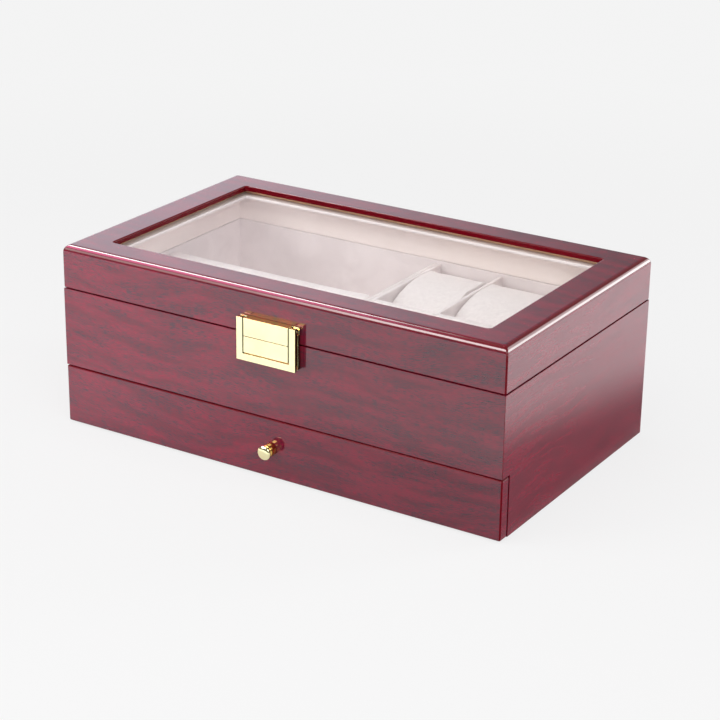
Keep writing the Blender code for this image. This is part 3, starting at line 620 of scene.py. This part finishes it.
lidLook = {
    "topRound": 5 * mm,
    "footRound": 1.2 * mm,
    "cornerRound": 1.3 * mm,
    "windowCorner": 2.5 * mm,
    "windowRound": 1.1 * mm,
    "lipHeight": 3.6 * mm,
    "glassSeat": 4.7 * mm,  # how far the pane goes under the lip
    "glassRoom": 0.3 * mm,
    "glassEdge": 0.2 * mm,
    "board": 9 * mm,
    "innerCorner": 0.2 * mm,
    "rawRoom": 0.5 * mm,
    "cutShare": 0.5,  # how much of the window's rounding is cut through
    "cornerSteps": 6,
    "footSteps": 5,
    "topSteps": 14,
    "windowSteps": 8,
}


def makeLidShell():
    look = lidLook
    low, high = boxOf("lid_front_rail", "lid_top_frame")
    foot, top = low.z, high.z
    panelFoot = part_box("lid_top_frame")[0][2]
    pane = Vector(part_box("lid_glass")[1])
    windowX, windowY = pane.x - look["glassSeat"], pane.y - look["glassSeat"]
    seatX, seatY = pane.x + look["glassRoom"], pane.y + look["glassRoom"]
    innerX, innerY = high.x - look["board"], high.y - look["board"]
    lipFoot = top - look["lipHeight"]
    tiny, corner, windowCorner = look["innerCorner"], look["cornerRound"], look["windowCorner"]
    levels = [(high.x - inset, high.y - inset, corner, foot + rise)
              for inset, rise in quarter(look["footRound"], look["footSteps"])]
    levels += reversed([(high.x - inset, high.y - inset, corner, top - rise)
                        for inset, rise in quarter(look["topRound"], look["topSteps"])])
    levels += [(windowX + inset, windowY + inset, windowCorner + inset, top - rise)
               for inset, rise in quarter(look["windowRound"], look["windowSteps"])]
    levels += [(windowX, windowY, windowCorner, lipFoot), (seatX, seatY, tiny, lipFoot),
               (seatX, seatY, tiny, panelFoot), (innerX, innerY, tiny, panelFoot),
               (innerX, innerY, tiny, foot)]
    shell = pieceOf("lidShell", ringLoft(levels, look["cornerSteps"]), "lacquer", 50)
    for side in ("left", "right"):
        cutMortise(shell, "lid", side)

    def within(face, halfX, halfY, room):
        return abs(face.center.x) < halfX + room and abs(face.center.y) < halfY + room

    def kindOf(face):
        height = face.center.z
        if within(face, innerX, innerY, look["rawRoom"]) and height < lipFoot + 0.1 * mm:
            return "raw"
        if within(face, windowX, windowY, look["windowRound"] * look["cutShare"]):
            return "cut"
        return "polished" if height > top - look["topRound"] else None

    layGrain(shell, kindOf)
    flatten(shell)
    dress(shell, "lid", "lacquered_wood", "lid_top_frame", "lid_front_rail", "lid_back_rail",
          "lid_left_rail", "lid_right_rail")


def makeGlass():
    bm = mergedCopy(nodes["lid_glass"].data)
    roundEdges(bm, lidLook["glassEdge"], 2)
    pane = pieceOf("glassPane", bm, "glass")
    flatten(pane)
    dress(pane, "lid", "glass", "lid_glass")


# Case and drawer front

caseLook = {
    "board": 9 * mm,
    "edgeRound": 1.2 * mm,
    "steps": 5,
    "over": 20 * mm,  # how far a cutter stands out of the box
    "boreRadius": 1.9 * mm,  # for the knob's screw
    "boreDepth": 40 * mm,
}


def makeCaseShell():
    look = caseLook
    names = ("case_back_wall", "case_front_rail", "case_left_wall", "case_right_wall")
    low, high = boxOf(*names)
    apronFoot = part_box("case_front_rail")[0][2]
    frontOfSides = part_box("case_left_wall")[0][1]
    board, over = look["board"], look["over"]
    shell = pieceOf("caseShell", boxMesh(low, high), "lacquer")
    cutWith(shell, boxMesh((low.x + board, low.y + board, low.z - over),
                           (high.x - board, high.y - board, high.z + over)))
    cutWith(shell, boxMesh((low.x - over, low.y - over, low.z - over),
                           (high.x + over, frontOfSides, apronFoot)))
    bm = mergedCopy(shell.data)
    roundEdges(bm, look["edgeRound"], look["steps"])
    bm.to_mesh(shell.data)
    bm.free()
    for side in ("left", "right"):
        cutMortise(shell, "case", side)
    shell.data.shade_smooth()
    shell.data.set_sharp_from_angle(angle=math.radians(50))
    layGrain(shell)
    flatten(shell)
    dress(shell, "case", "lacquered_wood", *names)


def turnedPlace(spot):  # a form made along +Z lies along -Y, from a spot on the drawer front
    return Matrix.Translation(spot) @ Matrix.Rotation(math.radians(90), 4, "X")


def knobSpot():
    low, high = boxOf("drawer_knob")
    return Vector(((low.x + high.x) / 2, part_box("drawer_front")[0][1], (low.z + high.z) / 2))


def makeDrawerFront():
    look = caseLook
    bm = boxMesh(*boxOf("drawer_front"))
    roundEdges(bm, look["edgeRound"], look["steps"])
    front = pieceOf("drawerFace", bm, "lacquer", 50)
    bore = bmesh.new()
    bmesh.ops.create_cone(bore, cap_ends=True, segments=32, radius1=look["boreRadius"],
                          radius2=look["boreRadius"], depth=look["boreDepth"], matrix=turnedPlace(knobSpot()))
    cutWith(front, bore)
    layGrain(front)
    flatten(front)
    dress(front, "drawer", "lacquered_wood", "drawer_front")


# Turned pieces

def turnedForm(profile, steps):  # radius and height pairs turned round +Z, closed at both ends
    bm = bmesh.new()
    rings = []
    for radius, height in profile:
        if radius < 0.01 * mm:
            rings.append([bm.verts.new((0, 0, height))] * steps)
            continue
        turns = [2 * math.pi * step / steps for step in range(steps)]
        rings.append([bm.verts.new((radius * math.cos(turn), radius * math.sin(turn), height))
                      for turn in turns])
    for first, second in zip(rings, rings[1:]):
        for step in range(steps):
            corners = []
            for vertex in (first[step - 1], second[step - 1], second[step], first[step]):
                if vertex not in corners:
                    corners.append(vertex)
            bm.faces.new(corners)
    bmesh.ops.recalc_face_normals(bm, faces=bm.faces)
    return bm


knobLook = {
    "radius": 4.9 * mm,
    "length": 10.2 * mm,
    "steps": 72,
    # radius and height shares: domed front, waist and flared foot
    "profileShares": (
        (0.0, 1.0), (0.25, 0.997), (0.47, 0.986), (0.65, 0.966), (0.79, 0.938), (0.90, 0.903),
        (0.965, 0.868), (0.997, 0.832), (1.0, 0.808), (0.99, 0.782), (0.95, 0.757), (0.86, 0.738),
        (0.74, 0.727), (0.64, 0.715), (0.585, 0.695), (0.57, 0.665), (0.60, 0.640), (0.68, 0.622),
        (0.76, 0.600), (0.82, 0.565), (0.86, 0.515), (0.885, 0.450), (0.895, 0.370), (0.895, 0.290),
        (0.89, 0.210), (0.88, 0.130), (0.87, 0.070), (0.86, 0.036), (0.84, 0.030), (0.0, 0.030)),
    "darkBandShares": (0.63, 0.75),  # the height shares between which a painted dark band darkens the brass, standing in for a dark reflection on the waist
}


def makeKnob():
    look = knobLook
    spot = knobSpot()
    profile = [(share * look["radius"], height * look["length"]) for share, height in look["profileShares"]]
    bm = turnedForm(profile, look["steps"])
    bm.transform(turnedPlace(spot))
    knob = pieceOf("drawerKnob", bm, "brass", 60)
    lowWaist, highWaist = look["darkBandShares"]

    def marksOf(face):
        # painted reflection: a dark band on the waist, and painted shade on the body towards the foot
        height = (spot.y - face.center.y) / look["length"]
        return lowWaist < height < highWaist, 0.5 if height < lowWaist else 0.0

    markBrass(knob, marksOf)
    dress(knob, "drawer", "brass", "drawer_knob")


# Latch and hinges

latchLook = {
    "innerHalf": 18 * mm,  # half the width of the inner pad and its grooves
    "grooveFrom": 0.35 * mm,  # depths behind the front of the hasp
    "grooveTo": 1.5 * mm,
    "narrowFace": 25 * mm * mm,
    "edge": 0.16 * mm,
    "pinEdge": 0.15 * mm,
}

hingeLook = {
    "edge": 0.12 * mm,
    "room": 0.3 * mm,
    "leaf": 1.0 * mm,
    "leafDepth": 7.5 * mm,
    "sink": 0.15 * mm,  # how far a leaf lies under the edge of its board
    "over": 5 * mm,
}


def markBrass(piece, marksOf):
    # "recess" is 1 where painted shade darkens the grooves, "flank" is half on upper faces and full on side
    # faces, which get painted shade
    for name in ("recess", "flank"):
        piece.data.attributes.new(name, "FLOAT", "FACE")
    recess, flank = (piece.data.attributes[name].data for name in ("recess", "flank"))
    for face in piece.data.polygons:
        recess[face.index].value, flank[face.index].value = marksOf(face)


def makeLatch():
    look = latchLook
    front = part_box("latch_hasp")[0][1]

    def marksOf(face):
        # painted shade in the pad's grooves, and on the upper and side faces
        inside = look["grooveFrom"] < face.center.y - front < look["grooveTo"]
        narrow = abs(face.normal.y) > 0.9 or face.area < look["narrowFace"]
        across = abs(face.center.x) < look["innerHalf"]
        side = 1.0 if abs(face.normal.x) > 0.9 else 0.5 if face.normal.z > 0.9 else 0.0
        return inside and narrow and across, side

    for node, body in (("latch_lid_block", "lid"), ("latch_keeper", "case"), ("latch_hasp", "latch")):
        markBrass(softNode(node, "brass", "brass", body, look["edge"], 2), marksOf)
    softNode("latch_pin", "brass", "brass", "lid", look["pinEdge"], 2)


def makeHinges():
    for side in ("left", "right"):
        for kind, body in (("hinge_case_leaf_", "case"), ("hinge_lid_leaf_", "lid"), ("hinge_pin_", "case")):
            softNode(kind + side, "brass", "brass", body, hingeLook["edge"], 2)


def cutMortise(shell, kind, side):  # the recess that a hinge leaf lies in
    look = hingeLook
    leafLow, leafHigh = boxOf("hinge_%s_leaf_%s" % (kind, side))
    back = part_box("case_back_wall")[1][1]
    near = back - look["leafDepth"] - look["room"]
    deep = look["sink"] + look["leaf"] + look["room"]
    if kind == "case":
        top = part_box("case_back_wall")[1][2]
        low, high = top - deep, top + look["over"]
    else:
        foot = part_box("lid_back_rail")[0][2]
        low, high = foot - look["over"], foot + deep
    cutWith(shell, boxMesh((leafLow.x - look["room"], near, low),
                           (leafHigh.x + look["room"], back + look["over"], high)))


# Screws: one countersunk form with a cross recess, put in every hole by a tree

screwLook = {
    "headRadius": 2.0 * mm,
    "shankRadius": 1.0 * mm,
    "neck": 1.0 * mm,
    "length": 9.0 * mm,
    "rimShares": ((0.93, 0.0), (0.985, 0.02), (1.0, 0.07)),  # radius shares, and depths in mm
    "threads": 7,
    "threadFrom": 1.2 * mm,  # under the neck
    "pitch": 0.85 * mm,
    "flankTo": 0.40 * mm,
    "crestTo": 0.46 * mm,
    "coreShare": 0.72,
    "crestShare": 0.98,
    "tipShare": 0.5,
    "tipLength": 0.6 * mm,
    "steps": 32,
    "recessLength": 2.2 * mm,
    "recessWidth": 0.45 * mm,
    "recessDepth": 0.6 * mm,
    "seed": 4,
    "turnRange": 1.5,
}


def screwForm():
    look = screwLook
    head, shank, length = look["headRadius"], look["shankRadius"], look["length"]
    core, crest = shank * look["coreShare"], shank * look["crestShare"]
    profile = [(0, 0)] + [(head * share, -depth * mm) for share, depth in look["rimShares"]]
    profile.append((shank, -look["neck"]))
    for step in range(look["threads"]):
        z = -look["neck"] - look["threadFrom"] - step * look["pitch"]
        profile += [(core, z), (crest, z - look["flankTo"]), (core, z - look["crestTo"])]
    profile += [(shank * look["tipShare"], look["tipLength"] - length), (0, -length)]
    form = pieceOf("screwForm", turnedForm(profile, look["steps"]), "steel", 30)
    long, wide, deep = look["recessLength"] / 2, look["recessWidth"] / 2, look["recessDepth"]
    for halfX, halfY in ((long, wide), (wide, long)):
        cutWith(form, boxMesh((-halfX, -halfY, -deep), (halfX, halfY, deep)))
    form.data.set_sharp_from_angle(angle=math.radians(30))
    bpy.context.scene.collection.objects.unlink(form)
    return form


def screwTree():
    tree, given = startTree("screwRow", (("Screw", "Object"), ("Facing", "Float"), ("Seed", "Int"),
                                         ("Turn range", "Float"), ("Finish", "Material")))
    spin = addNode(tree, "FunctionNodeRandomValue", {2: 0.0, 3: given["Turn range"], "Seed": given["Seed"]},
                   data_type="FLOAT").outputs[1]
    turn = follow("ShaderNodeCombineXYZ", {0: given["Facing"], 2: spin})
    return endTree(tree, given, given["Points"], given["Screw"], Rotation=turn)


def makeScrews():
    look = screwLook
    form, tree = screwForm(), screwTree()
    for kind, body, facing in (("case_hinge_screw", "case", 0.0), ("lid_hinge_screw", "lid", math.pi)):
        names = sorted(name for name in nodes if name.startswith(kind))
        points = []
        for name in names:
            low, high = boxOf(name)
            middle = (low + high) / 2
            points.append((middle.x, middle.y, high.z if facing == 0 else low.z))
        row = grow(body + "HingeScrews", points, tree, {
            "Screw": form, "Facing": facing, "Seed": look["seed"], "Turn range": look["turnRange"],
            "Finish": finish["steel"]})
        dress(row, body, "screw_steel", *names)
    dropForm(form)


# Linings

liningLook = {"cardEdge": 0.5 * mm, "dividerEdge": 0.9 * mm, "steps": 3, "seamRoom": 0.08 * mm}

linings = {
    "case": ("tray_floor_lining", "tray_lining", "left_tray_wall", "right_tray_wall", "middle_divider",
             "column_divider_1", "column_divider_2"),
    "lid": ("lid_lining", "glass_retainer"),
    "drawer": ("drawer_lining", "drawer_divider"),
}


def makeLinings():
    look = liningLook
    seam = (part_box("case_left_wall")[1][2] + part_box("lid_left_rail")[0][2]) / 2
    meet = {"tray_lining": (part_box("tray_lining")[1][2], seam - look["seamRoom"]),
            "lid_lining": (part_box("lid_lining")[0][2], seam + look["seamRoom"])}
    for body, names in linings.items():
        for node in names:
            # the lid's lining gets the painted-light copy of the velvet
            cloth = "litLidVelvet" if node == "lid_lining" else "velvet"
            edge = look["dividerEdge" if node.count("divider") or node.endswith("wall") else "cardEdge"]
            softNode(node, cloth, "velvet", body, edge, look["steps"], stretch=meet.get(node))


# Padded pieces: sewn a little small, then blown up against their own cloth

pillowLook = {
    "voxel": 1.6 * mm,
    "shrink": 1.2 * mm,  # how much smaller the sewn shape starts than the solid
    "pressure": 4.0,
    "frames": 20,
    "cap": 1.6 * mm,
    "sideRoom": 0.5 * mm,  # to the walls of the cell
    "seamPlace": 1.9 * mm,  # from each end
    "seamWidth": 0.7 * mm,
    "seamDepth": 0.25 * mm,
    "waves": 0.16 * mm,
    "waveScale": 42,
    "waveStep": 3.7,  # from pillow to pillow
    "waveRest": 0.4,
    "endSpread": 1.2 * mm,  # how far the rims at the ends stand out
    "spreadFrom": 0.55,
    "spreadOver": 0.4,
    "endFrom": 0.78,  # from here on the ends are pressed flat
    "endPress": 0.35,
    "crownDrop": 2.0 * mm,  # under the solid's top
    "crownLean": 9 * mm,  # the crown is pushed towards the back
}

barLook = {"voxel": 2.0 * mm, "shrink": 0.6 * mm, "pressure": 4.0, "frames": 20, "cap": 0.7 * mm}

rollLook = {
    "voxel": 2.1 * mm,
    "shrink": 0.5 * mm,
    "pressure": 4.0,
    "frames": 20,
    "cap": 0.6 * mm,
    "count": 8,
    "slot": 1.2 * mm,
    "base": 4.0 * mm,
    "baseEdge": 0.5 * mm,
    "sunk": 0.6 * mm,  # how far the rolls stand in their base
    "steps": 12,
}


clothValues = {
    "quality": 5,
    "mass": 0.15,
    "tension_stiffness": 12,
    "compression_stiffness": 12,
    "shear_stiffness": 6,
    "bending_stiffness": 0.4,
    "use_pressure": True,
}


def reachOf(vertices):  # lowest and highest corner of some vertices
    spots = [vertex.co for vertex in vertices]
    return [Vector([pick(spot[axis] for spot in spots) for axis in range(3)]) for pick in (min, max)]


def fitTo(piece, low, high):  # brings a mesh to a wanted box
    start, end = reachOf(piece.data.vertices)
    for vertex in piece.data.vertices:
        vertex.co = [low[axis] + (vertex.co[axis] - start[axis]) / (end[axis] - start[axis])
                     * (high[axis] - low[axis]) for axis in range(3)]


def inflate(piece, look):
    before = [vertex.co.copy() for vertex in piece.data.vertices]
    cloth = piece.modifiers.new("cloth", "CLOTH")
    for key, value in clothValues.items():
        setattr(cloth.settings, key, value)
    cloth.settings.uniform_pressure_force = look["pressure"]
    cloth.settings.effector_weights.gravity = 0
    cloth.collision_settings.use_collision = False
    cloth.point_cache.frame_start = 1
    cloth.point_cache.frame_end = look["frames"]
    scene = bpy.context.scene
    for step in range(1, look["frames"] + 1):
        scene.frame_set(step)
    settle(piece)
    scene.frame_set(1)
    after = [vertex.co.copy() for vertex in piece.data.vertices]
    drift = sum((end - start for end, start in zip(after, before)), Vector()) / len(after)
    for vertex, start, end in zip(piece.data.vertices, before, after):
        move = end - start - drift
        if move.length > look["cap"]:
            move = move.normalized() * look["cap"]
        vertex.co = start + move


def padForm(bm, name, look, material):  # a padded form about its own middle
    low, high = reachOf(bm.verts)
    middle, half = (low + high) / 2, (high - low) / 2
    for vertex in bm.verts:
        vertex.co = [(vertex.co[axis] - middle[axis]) * (half[axis] - look["shrink"]) / half[axis]
                     for axis in range(3)]
    form = pieceOf(name, bm, material)
    remesh = form.modifiers.new("remesh", "REMESH")
    remesh.mode = "VOXEL"
    remesh.voxel_size = look["voxel"]
    settle(form)
    inflate(form, look)
    fine = form.modifiers.new("fine", "SUBSURF")
    fine.levels = fine.render_levels = 1
    settle(form)
    fitTo(form, -half, half)
    form.data.shade_smooth()
    return form


def makePillows():
    look = pillowLook
    low, high = boxOf("watch_pillow_1")
    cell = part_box("column_divider_1")[0][0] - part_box("right_tray_wall")[1][0]
    pillow = padForm(mergedCopy(nodes["watch_pillow_1"].data), "pillowShape", look, "suede")
    half = (high - low) / 2
    halfX = cell / 2 - look["sideRoom"]
    fitTo(pillow, (-halfX, -half.y, -half.z), (halfX, half.y, half.z))
    shape = pillow.data
    start, press = look["endFrom"], look["endPress"]
    for vertex in shape.vertices:
        share = abs(vertex.co.x) / halfX
        pressed = 1 - (1 - share) * press if share > start else share * (1 - (1 - start) * press) / start
        vertex.co.x = math.copysign(pressed * halfX, vertex.co.x)
        share = min(1, max(0, (share - look["spreadFrom"]) / look["spreadOver"]))
        share = share * share * (3 - 2 * share) * look["endSpread"]
        vertex.co.y += share * vertex.co.y / half.y
        vertex.co.z += share * vertex.co.z / half.z
        across = min(1, abs(vertex.co.y) / half.y)
        up = max(0, vertex.co.z / half.z)
        vertex.co.y += look["crownLean"] * up ** 1.5 * (1 - across ** 3)
    fitTo(pillow, (-halfX, -half.y, -half.z), (halfX, half.y, half.z - look["crownDrop"]))
    spots = [vertex.co.copy() for vertex in shape.vertices]
    normals = [vertex.normal.copy() for vertex in shape.vertices]
    for number in range(1, 7):
        low, high = boxOf("watch_pillow_%d" % number)
        place = (low + high) / 2
        mesh = shape.copy()
        for vertex, spot, normal in zip(mesh.vertices, spots, normals):
            fromEnd = halfX - look["seamPlace"] - abs(spot.x)
            seam = math.exp(-(fromEnd / look["seamWidth"]) ** 2) * (1 - abs(normal.x))
            away = Vector((number * look["waveStep"], 0, 0))
            wave = noise.noise(spot * look["waveScale"] + away) * (1 - abs(normal.x))
            lift = look["waves"] * (wave - look["waveRest"]) - look["seamDepth"] * seam
            vertex.co = place + spot + normal * lift
        mesh.shade_smooth()
        piece = linkPiece("watchPillow%d" % number, mesh, "suede")
        dress(piece, "case", "pillow_suede", "watch_pillow_%d" % number)
    bpy.data.objects.remove(pillow)


def makeBar():
    low, high = boxOf("left_tray_bar")
    bar = padForm(mergedCopy(nodes["left_tray_bar"].data), "leftTrayBar", barLook, "velvet")
    bar.data.transform(Matrix.Translation((low + high) / 2))
    dress(bar, "case", "velvet", "left_tray_bar")


def rollTree():
    tree, given = startTree("rollBank", (("Roll", "Object"), ("Count", "Int"), ("Pitch", "Float"),
                                         ("Finish", "Material")))
    step = addNode(tree, "ShaderNodeCombineXYZ", {1: given["Pitch"]}).outputs[0]
    first = addNode(tree, "GeometryNodeInputPosition").outputs[0]
    start = addNode(tree, "GeometryNodeSampleIndex", {"Geometry": given["Points"], "Value": first},
                    data_type="FLOAT_VECTOR").outputs[0]
    line = addNode(tree, "GeometryNodeMeshLine", {"Count": given["Count"], "Start Location": start,
                                                  "Offset": step}, mode="OFFSET").outputs[0]
    return endTree(tree, given, line, given["Roll"])


def makeRingRolls():
    look = rollLook
    low, high = boxOf("ring_rolls")
    pitch = (high.y - low.y + look["slot"]) / look["count"]
    radius = (pitch - look["slot"]) / 2
    foot = low.z + look["base"] - look["sunk"]
    side = high.z - radius
    section = [(-radius, foot), (radius, foot)]
    for step in range(look["steps"] + 1):
        angle = math.pi * step / look["steps"]
        section.append((radius * math.cos(angle), side + radius * math.sin(angle)))
    bm = bmesh.new()
    ends = [[bm.verts.new((x, y, z)) for y, z in section] for x in (low.x, high.x)]
    for index in range(len(section)):
        bm.faces.new((ends[0][index - 1], ends[0][index], ends[1][index], ends[1][index - 1]))
    bm.faces.new(ends[0])
    bm.faces.new(ends[1])
    bmesh.ops.recalc_face_normals(bm, faces=bm.faces)
    roll = padForm(bm, "rollShape", look, "velvet")
    bpy.context.scene.collection.objects.unlink(roll)
    middle = Vector(((low.x + high.x) / 2, low.y + pitch / 2 - look["slot"] / 2, (foot + high.z) / 2))
    bank = grow("ringRolls", [middle], rollTree(), {"Roll": roll, "Count": look["count"], "Pitch": pitch,
                                                    "Finish": finish["velvet"]})
    base = boxMesh(low, (high.x, high.y, low.z + look["base"]))
    roundEdges(base, look["baseEdge"], 3)
    base.from_mesh(bank.data)
    base.to_mesh(bank.data)
    base.free()
    bank.data.shade_smooth()
    dress(bank, "drawer", "velvet", "ring_rolls")
    dropForm(roll)


# Boards and nodes that keep their CAD form

boardLook = {"edge": 0.5 * mm, "steps": 2}


def makeBoards():
    look = boardLook
    for node in ("drawer_left_side", "drawer_right_side", "drawer_back", "partition_board", "bottom_board"):
        body = "drawer" if node.startswith("drawer") else "case"
        softNode(node, "board", "plain_board", body, look["edge"], look["steps"])


def finishCarried():
    for material, name in (("board", "drawer_bottom"), ("felt", "base_felt"), ("steel", "knob_screw")):
        mesh = nodes[name].data
        mesh.materials.clear()
        mesh.materials.append(finish[material])


# Studio

def softbox(name, place, aim, size, power, mirrored):
    light = bpy.data.lights.new(name, "AREA")
    light.shape = "RECTANGLE"
    light.size, light.size_y = size
    light.energy = power
    lamp = addObject(name, light)
    lamp.visible_glossy = mirrored
    lamp.location = place
    direction = Vector(aim) - Vector(place)
    lamp.rotation_euler = direction.to_track_quat("-Z", "Y").to_euler()


def makeFloor():
    look = studio
    bm = bmesh.new()
    bmesh.ops.create_grid(bm, x_segments=1, y_segments=1, size=look["floorSize"] / 2)
    floor = addObject("floor", meshOf("floor", bm))
    material, tree, shader = newMaterial("studioFloor", Roughness=0.9, Specular_IOR_Level=0.0)
    tone = look["backgroundTone"]
    glow = addNode(tree, "ShaderNodeEmission", {"Color": (tone, tone, tone, 1), "Strength": 1.0})
    path = addNode(tree, "ShaderNodeLightPath").outputs
    spot = addNode(tree, "ShaderNodeNewGeometry").outputs["Position"]
    x, y = addNode(tree, "ShaderNodeSeparateXYZ", {0: spot}).outputs[:2]

    # the tone that the polish mirrors, with painted shadow beside and in front of the box and painted light
    # further off
    paleFrom = look["paleFrom"]
    away = plus(x, times(y, 0.25))
    beside = band(x, *look["besideFrom"])
    close = times(beside, band(away, look["darkTo"], paleFrom, 1.0, 0.0))
    level = band(away, paleFrom, paleFrom + look["paleOver"], look["mirroredFloor"], look["paleTone"])
    level = between(close, level, look["besideShadow"])
    foot = times(band(y, *look["footDepth"]), band(x, *look["footWidth"]))
    foot = times(foot, minus(1.0, beside))
    level = times(level, minus(1.0, times(foot, 1 - look["footShadow"])))
    level = between(path["Is Glossy Ray"], look["floorTone"], level)
    tree.links.new(level, shader.inputs["Base Color"])

    # the camera sees an even tone, with a share of the true shade near the box
    seen = calc("MAXIMUM", path["Is Camera Ray"], path["Is Transmission Ray"])
    reach = calc("SQRT", plus(times(x, x), times(y, y)))
    shade = band(reach, look["shadowFrom"], look["shadowReach"], look["shadowShare"], 0.0)
    share = times(seen, minus(1.0, shade))
    mix = addNode(tree, "ShaderNodeMixShader", {0: share, 1: shader.outputs[0], 2: glow.outputs[0]})
    tree.links.new(mix.outputs[0], tree.nodes["Material Output"].inputs["Surface"])
    floor.data.materials.append(material)


def makeRoom():
    look = studio
    world = bpy.data.worlds.new("studioWorld")
    bpy.context.scene.world = world
    world.use_nodes = True
    tree = world.node_tree
    direction = addNode(tree, "ShaderNodeTexCoord").outputs["Generated"]
    part = dict(zip("xyz", addNode(tree, "ShaderNodeSeparateXYZ", {0: direction}).outputs))
    leftward = band(part["x"], look["brightFrom"], look["brightTo"], 1.0, 0.0)
    backward = band(part["y"], 0.1, 0.4)
    low = band(part["z"], 0.55, 0.75, 1.0, 0.0)
    bright = times(times(leftward, backward), low)
    plain = blendColor(bright, look["dimWall"], look["brightWall"])

    def zone(name):
        share = 1.0
        for axis, start, end in mirroredRoom[name]:
            share = times(share, band(part[axis], start, end))
        return share

    # what the polish mirrors: a bright strip overhead to the left, a rosy field in front of it,
    # a long window low in front, and a pale wall to the right
    near = blendColor(bright, (look["mirrorDim"],) * 3 + (1,), look["brightWall"])
    field = zone("field")
    rosyParts = {key: times(field, look["pinkTone"] * look["pink"][key]) for key in range(3)}
    rosy = addNode(tree, "ShaderNodeCombineXYZ", rosyParts).outputs[0]
    rise = band(part["x"], *mirroredRoom["windowRise"], look["pinkTone"], look["windowTone"])
    tone = plus(times(zone("strip"), look["stripTone"]), times(zone("window"), rise))
    tone = plus(tone, times(zone("paleWall"), look["sideTone"]))
    lit = addNode(tree, "ShaderNodeCombineXYZ", {0: tone, 1: tone, 2: tone}).outputs[0]
    mirrored = blendColor(1.0, blendColor(1.0, near, lit, "ADD"), rosy, "ADD")
    glossy = addNode(tree, "ShaderNodeLightPath").outputs["Is Glossy Ray"]
    tree.links.new(blendColor(glossy, plain, mirrored), tree.nodes["Background"].inputs["Color"])


def makeStudio():
    bpy.context.scene.view_settings.view_transform = "Standard"
    makeFloor()
    makeRoom()
    for name, values in lamps.items():
        softbox(name, *values)


def main():
    makeCamera()
    makeStudio()
    print("studio ready")
    makeFinishes()
    print("finishes ready")
    makeLidShell()
    makeGlass()
    makeCaseShell()
    makeDrawerFront()
    print("lacquered shells ready")
    makeKnob()
    makeLatch()
    makeHinges()
    makeScrews()
    print("brass and screws ready")
    makeLinings()
    print("linings ready")
    makePillows()
    makeBar()
    makeRingRolls()
    print("padded pieces ready")
    makeBoards()
    finishCarried()


main()
